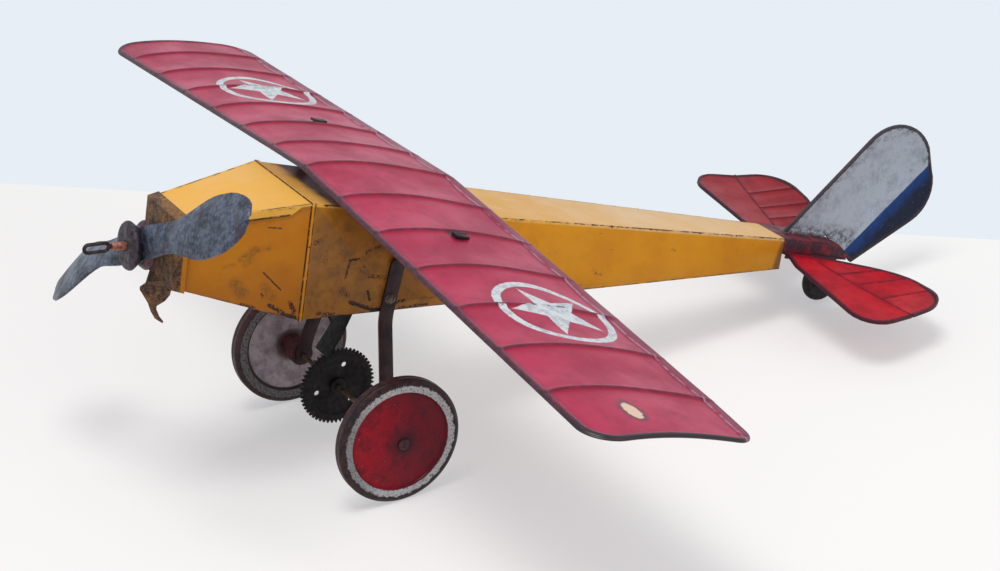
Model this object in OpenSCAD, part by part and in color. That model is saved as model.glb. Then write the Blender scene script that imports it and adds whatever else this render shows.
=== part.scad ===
// Tin toy monoplane of about 1930: a pull toy folded and pressed from painted sheet steel.
// Nose toward -Y, tail toward +Y, +Z up, standing on its three wheels at z = 0.
// In the airframe's own tilted frame x runs across the span, a runs aft from the cowl seam
// and u runs up from the seam's top edge. Lengths are millimetres and angles are degrees.

/* [Stance] */
// Diameter of the two front wheels
wheel_d = 73; // [68:1:78]
// Cowl seam ahead of the front axle
seam_ahead = 22.4; // [18:0.2:26]
// Top edge of the seam above the front axle
seam_rise = 131.1; // [127:0.1:135]

/* [Fuselage] */
// Thickness of the folded body sheet
sheet = 0.8; // [0.6:0.1:1.2]
// Width of the fuselage at the seam
seam_w = 75; // [70:1:80]
// Height of the fuselage at the seam
seam_h = 66.5; // [62:0.5:70]
// Length of the body aft of the seam
body_l = 341.5; // [320:0.5:360]
// Width of the body at its tail end
tail_w = 28.6; // [24:0.2:32]
// Height of the body at its tail end
tail_h = 20.1; // [18:0.1:23]
// Fall of the top line from the seam to the tail end
tail_fall = 40.9; // [36:0.1:44]
// Width of the rolled bead round the seam
bead_w = 2.4; // [1.6:0.1:3]
// Height of the bead above the sheet
bead_h = 0.7; // [0.4:0.1:1]

/* [Cowl] */
// Length of the cowl ahead of the seam
cowl_l = 67.9; // [60:0.1:74]
// Width of the cowl at the nose
nose_w = 40.4; // [36:0.2:46]
// Height of the cowl at the nose
nose_h = 37.5; // [34:0.5:42]
// Fall of the cowl's top line from the seam to the nose
nose_fall = 13.5; // [10:0.5:16]
// Depth of the top panel's side flaps
flap_d = 4.6; // [3:0.1:7]
// Where the side flaps start to rise, ahead of the seam
flap_end = 10; // [7:0.5:14]
// Depth of the nose plate's folded lip
lip_d = 6.2; // [5:0.1:8]

/* [Wing] */
// Spacing of the pressed ribs
rib_pitch = 42; // [38:0.5:44]
// Ribs on each side of the middle rib
rib_count = 6; // [5:1:6]
// Wing beyond the last rib on the port side
tip_port = 47.5; // [30:0.5:50]
// Wing beyond the last rib on the starboard side, cut shorter than the port one
tip_star = 35.5; // [30:0.5:50]
// Chord of the wing
chord = 98.5; // [90:0.5:106]
// Height of the crest above the straight chord line
camber = 4.8; // [3:0.1:8]
// Height of each pressed rib
rib_h = 1.3; // [0.8:0.1:2]
// Half width of each pressed rib
rib_w = 3; // [2:0.5:5]
// Sag of the sheet between two ribs
bay_sag = 0.9; // [0:0.1:1.5]
// Thickness of the wing sheet
wing_t = 1; // [0.8:0.1:1.4]
// Thickness of the folded hem round the wing
hem_t = 2.2; // [1.6:0.1:3]
// Width of that hem at the leading edge and the tips
hem_w = 3; // [2:0.1:4]
// Width of the broad fold of the trailing edge
fold_w = 7.5; // [5:0.5:10]
// Leading edge aft of the seam
wing_aft = 9.9; // [6:0.1:14]
// Leading edge above the seam's top edge
wing_up = 8.4; // [7:0.1:12]
// Nose-up setting of the wing against the fuselage
wing_set = 5.6; // [4:0.1:8]
// Droop of each half toward its tip
droop = 4.7; // [4:0.1:7]
// Droop lost at the trailing edge
wash = 0.8; // [0:0.1:1.5]
// Lean of the whole wing toward the port side, bent in play
wing_lean = 2.5; // [0:0.1:4]
// Extra lean at the trailing edge, the warp of the sheet
wing_warp = 1.5; // [0:0.1:3]
// Turn of the leading edge, port side aft, pushed in play
wing_yaw = 0.9; // [0:0.1:2]
// Extra turn at the trailing edge
wing_skew = 0.6; // [0:0.1:2]
// Corner radius of the leading edge at the tips
le_r = 18; // [14:1:30]
// Corner radius of the port trailing edge
te_r_port = 13; // [8:1:30]
// Corner radius of the starboard trailing edge
te_r_star = 19; // [8:1:30]
// Rake of the port tip, the trailing edge shorter
rake_port = 11; // [0:0.5:14]
// Rake of the starboard tip
rake_star = 3; // [0:0.5:14]

/* [Undercarriage] */
// Width of each front wheel
wheel_w = 8.4; // [7:0.2:11]
// Outer faces of the two wheels from the middle of their axle
track_half = 75.3; // [72:0.1:80]
// Axle set pushed toward the port side in play
axle_slide = 5.7; // [0:0.1:7]
// Thickness of the pressed wheel sheet
wheel_t = 0.9; // [0.7:0.1:1.2]
// Radius of the painted disc inside the flat ring
disc_r = 29.1; // [26:0.1:31]
// Depth of the disc's edge below the ring
disc_in = 1.4; // [0.8:0.1:2]
// Rise of the coned disc's middle above the ring
dome = 3.2; // [1:0.1:5]
// Depth of the inner sheet's dish
dish = 2.4; // [1:0.1:3]
// Width of the rolled rim outside the ring
rim_w = 2.4; // [1.6:0.1:3.4]
// Radius of the wheel's hub
hub_r = 7; // [5:0.2:9]
// Radius of the boss between the wheel's two sheets
boss_r = 4.4; // [3.6:0.1:5]
// Reach of each hub toward its strut
hub_out = 13.8; // [12:0.1:15]
// Radius of the axle's end caps
cap_r = 3.2; // [2.6:0.1:4.4]
// Height of the end caps
cap_h = 1.7; // [1.4:0.1:2.4]
// Diameter of the front axle
axle_d = 2.6; // [2:0.1:3.4]
// Width of the strut straps
strap_w = 8.5; // [7:0.5:10]
// Thickness of the strut straps
strap_t = 1.4; // [1:0.1:2]
// Lean of the struts, top aft
strut_lean = 18.3; // [17:0.1:19.5]
// Strut screw along the strap above the axle
screw_s = 66.2; // [63:0.2:69]
// Where the strut leaves the fuselage side, along the strap
flare_s = 89.4; // [86:0.2:93]
// Where the strut's tab comes up through the wing, from the middle
tab_x = 88.5; // [86:0.5:92]
// Length of the tab folded over on the wing
tab_l = 5; // [3:0.5:7]
// Head diameter of the strut screws
screw_head_d = 6.6; // [5.6:0.2:7.6]
// Shank diameter of the strut screws
screw_d = 3; // [2.4:0.1:3.5]

/* [Clicker] */
// Teeth of the clicker wheel
tooth_n = 54; // [44:1:60]
// Outer radius of the clicker wheel
gear_r = 23.3; // [21:0.1:25]
// Depth of the teeth
tooth_h = 1.7; // [1.2:0.1:2]
// Thickness of the clicker wheel's sheet
gear_t = 2; // [1.6:0.1:2.4]
// Middle of the clicker wheel from the middle of the toy
gear_x = 0.2; // [0:0.1:6]
// Radius of the flat band's inner edge
band_r = 17.6; // [16:0.2:19]
// Depth of the dish inside the band
dish_in = 1; // [0.6:0.1:1.4]
// Diameter of the three holes in the dish
dish_hole_d = 3.2; // [2.4:0.1:4]
// Turn of the first of these holes at rest
dish_hole_turn = 36; // [0:1:119]
// Radius of the collar that holds the clicker wheel
collar_r = 3.8; // [3:0.1:4.6]
// Width of the spring tongue
tongue_w = 16; // [12:0.5:18]
// Thickness of the spring tongue
tongue_t = 1; // [0.8:0.1:1.4]
// Where the tongue leaves the belly, aft of the seam
tongue_aft = 52.5; // [50:0.5:56]
// Length of the tongue's riveted foot
tongue_foot = 13; // [11:0.5:16]
// Side of the wheel where the tongue rests, from level aft
tongue_at = 109; // [106:1:114]

/* [Propeller] */
// Radius of the propeller
prop_r = 120.8; // [105:0.2:125]
// Widest chord of a blade
blade_w = 34.2; // [28:0.2:38]
// Width of a blade's neck at the hub
root_w = 17.8; // [15:0.2:22]
// Radius where the neck starts to widen
neck_r = 40; // [30:1:46]
// Length of a blade's rounded end
round_l = 36.4; // [28:0.2:50]
// Thickness of the blades
blade_t = 1.4; // [1:0.1:2]
// Turn of the propeller at rest above level
prop_turn = 25; // [0:1:60]
// Twist of the port blade, upper edge forward when positive
twist_port = -20; // [-40:1:40]
// Twist of the starboard blade
twist_star = 35; // [-40:1:40]
// Slant of the port blade toward the tail
bend_port = 5.4; // [-5:0.2:8]
// Slant of the starboard blade
bend_star = -3; // [-5:0.2:8]
// Curl of the port blade's end toward the tail
curl_port = 1.7; // [0:0.1:14]
// Curl of the starboard blade's end
curl_star = 12.3; // [0:0.1:14]
// Sweep of the port blade within its own plane
sweep_port = 1.1; // [-4:0.1:10]
// Sweep of the starboard blade
sweep_star = 9.4; // [-4:0.1:10]
// Radius of the two hub cups
cup_r = 13.6; // [12:0.2:15]
// Middle of the hub ahead of the nose plate
hub_ahead = 12.4; // [11.5:0.1:14]
// Drop of the shaft below the middle of the nose plate
shaft_drop = 1.2; // [0:0.1:3]
// Diameter of the copper sleeve through the hub
sleeve_d = 4.6; // [4:0.1:5.4]
// Length of the sleeve ahead of the nose plate
sleeve_l = 27; // [25.5:0.5:30]
// Diameter of the split pin that carries the propeller
pin_d = 2.4; // [2:0.1:2.8]
// Length of the pin's eye
eye_l = 15.5; // [12:0.5:18]
// Width of the pin's eye
eye_w = 6.6; // [5.6:0.2:8]

/* [Tow hook] */
// Width of the hook's neck at the nose plate's lower edge
hook_w = 18; // [14:0.5:20]
// Turn of the hook's leaf out of the nose plate's plane
hook_turn = 60; // [40:1:75]
// Length of the hook below the nose plate
hook_l = 26; // [22:0.5:29]

/* [Tail] */
// Thickness of the tail sheets
tail_t = 1; // [0.8:0.1:1.4]
// Thickness of the rolled edge round them
edge_t = 2; // [1.6:0.1:2.6]
// Length of the channel that carries the tail
channel_l = 58; // [52:1:64]
// Height of the channel's sides at its front end
channel_h = 8.8; // [7:0.2:10]
// Half span of the tailplane
plane_half = 102.5; // [96:0.5:110]
// Leading edge of the tailplane aft of the tail end
plane_le = 3.6; // [2:0.1:8]
// Trailing edge of the tailplane aft of the tail end
plane_te = 73.5; // [68:0.5:80]
// Corner radius of its leading edge at the tips
plane_le_r = 18.3; // [14:0.1:22]
// Corner radius of its trailing edge at the tips
plane_te_r = 24.7; // [20:0.1:26]
// Rake of its tips, the trailing edge shorter
plane_rake = 4.4; // [0:0.1:8]
// Upward slant of both halves of the tailplane
plane_rise = 0.9; // [0:0.1:3]
// Lean of both halves toward the port side, bent in play
plane_lean = 7.3; // [0:0.1:9]
// Turn-up of the port half's rear outer corner
warp_port = 11.6; // [0:0.1:14]
// Turn-up of the starboard half's rear outer corner
warp_star = 6.5; // [0:0.1:14]
// Turn-up of the port elevator behind its pressed line
lift_port = 4.3; // [0:0.1:12]
// Turn-up of the starboard elevator
lift_star = 6.9; // [0:0.1:12]
// Height of the pressed lines
line_h = 0.6; // [0.3:0.1:1]
// Foot of the fin's leading edge aft of the tail end
fin_foot = 9.5; // [8:0.5:12]
// Radius of the fin's top curve
fin_top_r = 31; // [29:0.5:34]
// Radius of the fin's rear curve
fin_rear_r = 25.5; // [23:0.5:28]
// Height of the fin's top curve above the tail end
fin_rise = 37.5; // [34:0.5:41]
// Reach of the fin's top curve aft of the tail end
fin_reach = 88; // [82:0.5:93]
// Diameter of the tail wheel
tail_wheel_d = 27; // [25:0.2:29]
// Width of the tail wheel
tail_wheel_w = 6; // [5:0.2:8]
// Tail wheel aft of the tail end
tail_wheel_aft = 46.5; // [44:0.5:49]
// Diameter of the tail wheel's axle
tail_axle_d = 2.4; // [2:0.1:3]
// Length of the fork's legs from the web to the axle
fork_leg = 18.54; // [17:0.02:20]
// Width of the fork's legs
fork_w = 9; // [7:0.5:11]
// Thickness of the fork's strap
fork_t = 1.2; // [1:0.1:1.6]

/* [Fits] */
// Radial clearance of a turning shaft in its hole
run_gap = 0.06; // [0.03:0.01:0.1]
// Radial clearance of a fixed pin in its hole
fix_gap = 0.05; // [0.02:0.01:0.1]
// Space between a turning piece and its neighbour
side_gap = 0.4; // [0.3:0.05:0.6]

/* [Hidden] */
$fn = 48;
wheel_r = wheel_d / 2;
axle_r = axle_d / 2;
eps = 0.01;

// Lines of the fuselage: half width, top and belly at a distance aft of the seam
function mix(p, q, t) = p + (q - p) * t;
function half_at(a) = a < 0 ? mix(seam_w, nose_w, -a / cowl_l) / 2 : mix(seam_w, tail_w, a / body_l) / 2;
function top_at(a) = a < 0 ? nose_fall * a / cowl_l : -tail_fall * a / body_l;
function belly_at(a) = a < 0 ? mix(-seam_h, -nose_fall - nose_h, -a / cowl_l)
    : mix(-seam_h, -tail_fall - tail_h, a / body_l);

// The shaft, the tail's frame and the lengths that set the origin
shaft_u = -nose_fall - nose_h / 2 - shaft_drop;
nose_face = cowl_l + sheet;
fall_angle = atan(tail_fall / body_l);
eye_tilt = 5;
fin_c1 = [body_l + fin_reach, -tail_fall + fin_rise];
fin_c2 = fin_c1 + [10.5, -12.5];
// The tail wheel's place in the body, and the nose-up tilt that stands it on the floor
tail_r = tail_wheel_d / 2;
plane_z = -channel_h - tail_t / 2 - fix_gap;
tail_a = body_l + tail_wheel_aft;
tail_u = -tail_fall - tail_wheel_aft * tan(fall_angle)
    - (fork_leg - plane_z + tail_t / 2 + fork_t / 2 + fix_gap) / cos(fall_angle);
body_pitch = asin((wheel_r + seam_rise - tail_r) / norm([tail_a, tail_u])) + atan2(tail_u, tail_a);
function along_y(a, u) = -seam_ahead + a * cos(body_pitch) + u * sin(body_pitch);
function along_z(a, u) = wheel_r + seam_rise - a * sin(body_pitch) + u * cos(body_pitch);
front_y = along_y(-nose_face - sleeve_l - side_gap - eye_l * cos(eye_tilt), shaft_u - eye_l * sin(eye_tilt));
rear_y = along_y(fin_c2.x, fin_c2.y) + fin_rear_r;
origin_y = -(front_y + rear_y) / 2;
origin_x = (tip_star - tip_port) / 2;

// Frames
module stand() translate([origin_x, origin_y, 0]) children();
module in_body() stand() translate([0, -seam_ahead, wheel_r + seam_rise])
    rotate([-body_pitch, 0, 0]) children();
module at_axle() stand() translate([0, 0, wheel_r]) children();
module on_axle() at_axle() translate([axle_slide, 0, 0]) children();
module in_strut() at_axle() rotate([-strut_lean, 0, 0]) children();
// Forward along the propeller's shaft from the nose plate's face
module on_shaft() in_body() translate([0, -nose_face, shaft_u]) rotate([90, 0, 0]) children();
// The tail's frame starts at the top of the body's tail end and follows its top line
module in_tail() in_body() translate([0, body_l, -tail_fall]) rotate([-fall_angle, 0, 0]) children();

// Shapes
module lifted(z) translate([0, 0, z]) children();
module across(w) rotate([90, 0, 90]) linear_extrude(w, center = true) children();
module rod_x(r, l, at = 0) translate([at, 0, 0]) rotate([0, 90, 0]) cylinder(r = r, h = l, center = true);
// Part of the tapered fuselage box between two stations, grown sideways, up and down
module box_between(a0, a1, out_x, out_top, out_low) intersection() {
    across(2 * seam_w) polygon([[a0, top_at(a0) + out_top], [a1, top_at(a1) + out_top],
        [a1, belly_at(a1) - out_low], [a0, belly_at(a0) - out_low]]);
    translate([0, 0, -2 * seam_h]) linear_extrude(4 * seam_h)
        polygon([[-half_at(a0) - out_x, a0], [half_at(a0) + out_x, a0],
            [half_at(a1) + out_x, a1], [-half_at(a1) - out_x, a1]]);
}
function unit(v) = v / norm(v);
function left_of(v) = [-v.y, v.x];
function reversed(p) = [for (i = [len(p) - 1:-1:0]) p[i]];
// One side of a strip that follows the points p at the distance h, with mitred corners
function strip_side(p, h) = [for (i = [0:len(p) - 1])
    let (d0 = i == 0 ? unit(p[1] - p[0]) : unit(p[i] - p[i - 1]))
    let (d1 = i == len(p) - 1 ? d0 : unit(p[i + 1] - p[i]))
    let (m = unit(left_of(d0) + left_of(d1)))
    p[i] + m * h / (m * left_of(d0))];
function strip_outline(p, t) = concat(strip_side(p, t / 2), reversed(strip_side(p, -t / 2)));
// The points p with each corner replaced by a curve that starts at the distance r from it
function curved(p, r, n = 4) = concat([p[0]], [for (i = [1:len(p) - 2])
    let (b = p[i], s = b + unit(p[i - 1] - b) * r, e = b + unit(p[i + 1] - b) * r)
    each [for (k = [0:n]) let (t = k / n) s * (1 - t) * (1 - t) + b * 2 * t * (1 - t) + e * t * t]],
    [p[len(p) - 1]]);
function arc(c, r, from, to, n) = [for (k = [0:n]) let (g = mix(from, to, k / n)) c + r * [cos(g), sin(g)]];
// A closed skin between two grids of points
module skin(top, low) {
    n = len(top);
    m = len(top[0]);
    o = n * m;
    grid = [for (i = [0:n - 2], j = [0:m - 2]) each [[i * m + j, i * m + j + 1, (i + 1) * m + j + 1],
        [i * m + j, (i + 1) * m + j + 1, (i + 1) * m + j]]];
    under = [for (f = grid) [f[2] + o, f[1] + o, f[0] + o]];
    rim = concat([for (j = [0:m - 2]) [j + 1, j]],
        [for (j = [0:m - 2]) [(n - 1) * m + j, (n - 1) * m + j + 1]],
        [for (i = [0:n - 2]) [i * m, (i + 1) * m]], [for (i = [0:n - 2]) [(i + 2) * m - 1, (i + 1) * m - 1]]);
    edge = [for (e = rim) each [[e[0], e[1], e[1] + o], [e[0], e[1] + o, e[0] + o]]];
    polyhedron(concat([for (r = top) each r], [for (r = low) each r]), concat(grid, under, edge));
}

// Fuselage: a tapered tube, open in front under the cowl and closed at the tail
module body_shell() color("goldenrod") in_body() difference() {
    union() {
        box_between(0, body_l, 0, 0, 0);
        box_between(0, bead_w, bead_h, bead_h, bead_h);
    }
    box_between(-eps, body_l - sheet, -sheet, -sheet, -sheet);
    for (s = [-1, 1]) translate([s * seam_w / 2, 0, 0]) screw_hole();
    translate([0, rivet_a, 0]) tongue_holes();
}
module screw_hole() rotate([body_pitch, 0, 0]) translate([0, seam_ahead, -seam_rise])
    rotate([-strut_lean, 0, 0]) translate([0, 0, screw_s]) rod_x(screw_d / 2 + fix_gap, seam_w / 2);

// Cowl: two sides and a floor folded from one sheet, under a separate top panel with lapped flaps
module cowl_sides() color("darkgoldenrod") in_body() difference() {
    box_between(-cowl_l, 0, 0, -sheet - fix_gap, 0);
    box_between(-cowl_l - eps, eps, -sheet, 2 * sheet, -sheet);
}
module cowl_top() color("khaki") in_body() difference() {
    intersection() {
        box_between(-cowl_l, 0, sheet + fix_gap, 0, 0);
        across(2 * seam_w) polygon([[-cowl_l, top_at(-cowl_l)], [0, 0], [0, -sheet],
            [-flap_end / 2, top_at(-flap_end / 2) - sheet], [-flap_end, top_at(-flap_end) - flap_d],
            [-cowl_l, top_at(-cowl_l) - flap_d]]);
    }
    box_between(-cowl_l - eps, eps, fix_gap, -sheet, eps);
}

// Nose plate: a shallow cap over the cowl's mouth. A tab of its lower edge is twisted edge-on,
// cut to a leaf and curled at the tip, and takes the pull string's loop.
module nose_plate() color("peru") {
    in_body() difference() {
        box_between(-cowl_l - sheet, -cowl_l + lip_d, 2 * (sheet + fix_gap), sheet + fix_gap,
            sheet + fix_gap);
        box_between(-cowl_l, -cowl_l + lip_d + eps, sheet + 2 * fix_gap, fix_gap, fix_gap);
        translate([0, -cowl_l, shaft_u]) rotate([90, 0, 0])
            cylinder(r = pin_d / 2 + fix_gap, h = 4 * sheet, center = true);
    }
    on_shaft() translate([0, -hook_z, -sheet / 2]) {
        rotate([0, hook_turn, 0]) linear_extrude(sheet, center = true) hook_leaf();
        hull() {
            translate([0, 0.2, 0]) cube([hook_w, 1.6, sheet], center = true);
            translate([0, -4.6, 0]) rotate([0, hook_turn, 0]) cube([11, 1, sheet], center = true);
        }
    }
}
// Depth of the plate's lower edge below the shaft
hook_z = shaft_u + nose_fall + nose_h + sheet;
module hook_leaf() polygon([[-5.4, -4.2], [-8.4, -0.27 * hook_l], [-8.2, -0.33 * hook_l],
    [-3.2, -0.6 * hook_l], [-1.2, -0.78 * hook_l], [1.4, -0.92 * hook_l], [5.6, -hook_l],
    [6, -0.97 * hook_l], [3.4, -0.86 * hook_l], [1.6, -0.72 * hook_l], [1.6, -0.64 * hook_l],
    [6, -0.5 * hook_l], [8.2, -0.36 * hook_l], [8.6, -0.24 * hook_l], [5.4, -4.2]]);

// Wing: one pressed sheet, drooping each way from a soft crease at the middle rib
last_rib = rib_count * rib_pitch;
crease_r = 5;
wing_tilt = body_pitch + wing_set;
function side(x, port, star) = x > 0 ? port : star;
function end_at(x) = last_rib + side(x, tip_port, tip_star);
// Chord line lost to the rounded corner of radius r at the station x
function corner_in(x, r) = let (d = abs(x) - (end_at(x) - r)) d <= 0 ? 0 : r - sqrt(max(0, r * r - d * d));
// Shift of a point of the tip toward the middle, from the rake of the sheet's end
function raked(x, t) = sign(x) * side(x, rake_port, rake_star) * t
    * max(0, (abs(x) - last_rib) / (end_at(x) - last_rib));
function near_rib(x) = abs(x) > last_rib + rib_pitch / 2 ? 99 : abs(x - rib_pitch * round(x / rib_pitch));
function rib_lift(x) = let (d = near_rib(x)) d >= rib_w ? 0 : rib_h * (1 + cos(180 * d / rib_w)) / 2;
function sag_at(x) = abs(x) >= last_rib ? 0 : bay_sag * (1 - cos(360 * x / rib_pitch)) / 2;
// Fall of the wing at the station x, upright, and its shift along the toy
function wing_drop(x, t) = (crease_r - sqrt(x * x + crease_r * crease_r)) * tan(droop - wash * t)
    - x * tan(wing_lean + wing_warp * t);
function wing_shift(x, t) = x * tan(wing_yaw + wing_skew * t);
// Place of the wing's upper face along and above the chord line of its middle rib
function wing_c(x, c) = let (t = c / chord)
    c + wing_shift(x, t) * cos(wing_tilt) - wing_drop(x, t) * sin(wing_tilt);
function wing_h(x, c) = let (t = c / chord, fade = 4 * t * (1 - t))
    camber * pow(sin(180 * pow(t, crest_at)), 0.9) + wing_shift(x, t) * sin(wing_tilt)
    + wing_drop(x, t) * cos(wing_tilt) + (rib_lift(x) - sag_at(x)) * min(1, 3 * fade);
crest_at = 0.8;
tip_steps = [for (g = [0:15:75]) sin(g)];
wing_side = concat([for (k = [0:rib_count]) each [k * rib_pitch - rib_w, k * rib_pitch - rib_w / 2,
    k * rib_pitch, k * rib_pitch + rib_w / 2, k * rib_pitch + rib_w, (k + 0.5) * rib_pitch]]);
wing_ribs = [for (x = wing_side) if (x > 0 && x < last_rib + rib_pitch / 4) x];
function tip_x(end) = concat([for (s = tip_steps) mix(last_rib + rib_w + 1.5, end - hem_w, s)],
    [end - hem_w / 2, end]);
wing_x = concat(reversed([for (x = concat(wing_ribs, tip_x(end_at(-1)))) -x]), [0],
    wing_ribs, tip_x(end_at(1)));
hem_f = hem_w / chord;
fold_f = 1 - fold_w / chord;
wing_rows = [0, hem_f, hem_f + 0.01, 0.1, 0.2, 0.32, 0.45, 0.58, 0.72, 0.82, fold_f - 0.01, fold_f, 0.97, 1];
function hemmed(x, t) = t <= hem_f || t >= fold_f || abs(x) >= end_at(x) - hem_w / 2;
function wing_point(x, t, low) =
    let (c = mix(corner_in(x, le_r), chord - corner_in(x, side(x, te_r_port, te_r_star)), t))
    let (extra = hemmed(x, t) ? (hem_t - wing_t) / 2 : 0)
    [x - raked(x, t), wing_c(x, c), wing_h(x, c) + (low ? -wing_t - extra : extra)];
module in_wing() in_body() translate([0, wing_aft, wing_up]) rotate([-wing_set, 0, 0]) children();
module wing() color("crimson") difference() {
    in_wing() skin([for (x = wing_x) [for (t = wing_rows) wing_point(x, t, false)]],
        [for (x = wing_x) [for (t = wing_rows) wing_point(x, t, true)]]);
    for (s = [-1, 1]) in_strut() translate([s * tab_x, 0, strut_top(s)])
        cube([strap_t + 2 * side_gap, strap_w + 2 * side_gap, 8 * wing_t], center = true);
}

// Struts: one strap a side, from the axle up the fuselage side and out to a tab through the wing
foot_in = track_half - wheel_w - hub_out - side_gap - strap_t / 2;
function foot_x(s) = foot_in + s * axle_slide;
// Place along and across a strut of the wing's face at the tab
function wing_yz(x, c) = let (d = wing_c(x, c), h = wing_h(x, c))
    let (a = wing_aft + d * cos(wing_set) + h * sin(wing_set))
    let (u = wing_up - d * sin(wing_set) + h * cos(wing_set))
    [along_y(a, u), along_z(a, u) - wheel_r];
function strut_s(p) = p.x * sin(strut_lean) + p.y * cos(strut_lean);
function strut_q(p) = p.x * cos(strut_lean) - p.y * sin(strut_lean);
function tab_c(s, lo = 0, hi = 1, n = 12) = let (m = (lo + hi) / 2)
    n == 0 ? m * chord : strut_q(wing_yz(s * tab_x, m * chord)) > 0
        ? tab_c(s, lo, m, n - 1) : tab_c(s, m, hi, n - 1);
function strut_top(s) = strut_s(wing_yz(s * tab_x, tab_c(s)));
// Half width of the fuselage where a strut's strap crosses it, and the belly's height there
screw_a = cross_a(screw_s);
function cross_a(s) = (s * sin(strut_lean) + seam_ahead) * cos(body_pitch)
    - (s * cos(strut_lean) - seam_rise) * sin(body_pitch);
function cross_u(s) = (s * sin(strut_lean) + seam_ahead) * sin(body_pitch)
    + (s * cos(strut_lean) - seam_rise) * cos(body_pitch);
belly_s = screw_s - (cross_u(screw_s) - belly_at(screw_a)) / cos(body_pitch - strut_lean);
side_x = half_at(cross_a(belly_s) - strap_w / 2) + strap_t / 2 + fix_gap;
foot_r = strap_w / 2;
// Fall of the wing's face toward the rear at the tab
wing_fall = wing_tilt + 4;
function strut_path(s, top) = curved([[foot_x(s), 0], [foot_x(s), 12], [side_x, belly_s - 4],
    [side_x, flare_s], [tab_x - 2, top - 12], [tab_x, top + wing_t + strap_t / 2]], 5);
module strut(s) in_strut() mirror([s < 0 ? 1 : 0, 0, 0]) difference() {
    union() {
        rotate([90, 0, 0]) linear_extrude(strap_w, center = true)
            polygon(strip_outline(strut_path(s, strut_top(s)), strap_t));
        rod_x(foot_r, strap_t, foot_x(s));
        // The tab, folded flat on the wing
        translate([tab_x - strap_t / 2, 0, strut_top(s) + side_gap])
            rotate([strut_lean - wing_fall, droop + s * (wing_lean + wing_warp / 2), 0])
                translate([0, -strap_w / 2, 0]) cube([tab_l, strap_w, strap_t]);
    }
    rod_x(axle_r + run_gap, 3 * strap_t, foot_x(s));
    translate([0, 0, screw_s]) rod_x(screw_d / 2 + fix_gap, 3 * strap_t, side_x);
}
module strut_port() color("saddlebrown") strut(1);
module strut_starboard() color("saddlebrown") strut(-1);
module strut_screws() color("silver") for (s = [-1, 1]) in_strut()
    translate([s * (side_x + strap_t / 2), 0, screw_s]) mirror([s < 0 ? 1 : 0, 0, 0]) rotate([0, 90, 0])
        difference() {
            union() {
                rotate_extrude() polygon(concat([[0, 0]],
                    arc([0, -screw_head_d * 0.28], screw_head_d * 0.574, 29.2, 90, 8)));
                translate([0, 0, -7]) cylinder(d = screw_d, h = 7 + eps);
            }
            translate([0, 0, screw_head_d * 0.34]) cube([0.9, screw_head_d + 1, 1.6], center = true);
        }

// Front axle set: the rod, its collars, the clicker wheel and two hollow pressed wheels
// Places of the two wheel sheets at the hub and of the cap on the outer one, and the sheets' hole
sheet_out = track_half + dome - wheel_t / 2;
sheet_in = track_half - wheel_w + dish;
cap_x = sheet_out + wheel_t / 2 + fix_gap;
cap_bore = cap_h / 2;
hub_hole = axle_r + 1.4;
module front_axle() color("tan") on_axle() rod_x(axle_r, 2 * (cap_x + cap_bore - fix_gap));
module teeth() polygon([for (i = [0:tooth_n - 1]) each [
    (gear_r - tooth_h) * [cos(360 * (i - 0.32) / tooth_n), sin(360 * (i - 0.32) / tooth_n)],
    gear_r * [cos(360 * (i - 0.08) / tooth_n), sin(360 * (i - 0.08) / tooth_n)],
    gear_r * [cos(360 * (i + 0.08) / tooth_n), sin(360 * (i + 0.08) / tooth_n)],
    (gear_r - tooth_h) * [cos(360 * (i + 0.32) / tooth_n), sin(360 * (i + 0.32) / tooth_n)]]]);
module clicker_wheel() color("dimgray") at_axle() translate([gear_x, 0, 0]) rotate([0, 90, 0]) difference() {
    linear_extrude(gear_t, center = true) teeth();
    lifted((gear_t - dish_in) / 2) cylinder(r = band_r, h = dish_in);
    cylinder(r = axle_r + fix_gap, h = 3 * gear_t, center = true);
    for (k = [0:2]) rotate(dish_hole_turn + 120 * k) translate([0.56 * gear_r, 0, 0])
        cylinder(d = dish_hole_d, h = 3 * gear_t, center = true);
}
module clicker_collar() color("dimgray") at_axle() difference() {
    union() {
        rod_x(collar_r, 5, gear_x - gear_t / 2 - 2.5);
        rod_x(collar_r + 1, 1.6, gear_x + (gear_t - dish_in) / 2 + 0.8);
    }
    rod_x(axle_r + fix_gap, 14, gear_x);
}
// Section of a wheel's outer half, radius by depth from its outer face, as a bent strip
ring_c = wheel_t / 2;
ring_r = wheel_r - rim_w;
rim = [[ring_r, ring_c], [wheel_r - ring_c, ring_c + rim_w / 2]];
outer_half = curved(concat([[hub_hole, ring_c - dome], [boss_r + 1, ring_c - dome],
    [disc_r - 0.8, ring_c + disc_in], [disc_r, ring_c]], rim, [[wheel_r - ring_c, wheel_w / 2]]), 0.5, 3);
inner_half = curved(concat([[hub_hole, dish], [disc_r - 1.6, dish], [disc_r, ring_c]], rim,
    [[wheel_r - ring_c, wheel_w / 2 - eps]]), 0.5, 3);
module wheel_half(p) rotate([0, -90, 0]) rotate_extrude($fn = 96) polygon(strip_outline(p, wheel_t));
module wheel_port_outer() color("firebrick") on_axle() translate([track_half, 0, 0]) wheel_half(outer_half);
module wheel_port_inner() color("gray") on_axle() translate([track_half - wheel_w, 0, 0])
    mirror([1, 0, 0]) wheel_half(inner_half);
module wheel_starboard_outer() color("firebrick") on_axle() mirror([1, 0, 0])
    translate([track_half, 0, 0]) wheel_half(outer_half);
module wheel_starboard_inner() color("gray") on_axle() translate([wheel_w - track_half, 0, 0])
    wheel_half(inner_half);
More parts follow.
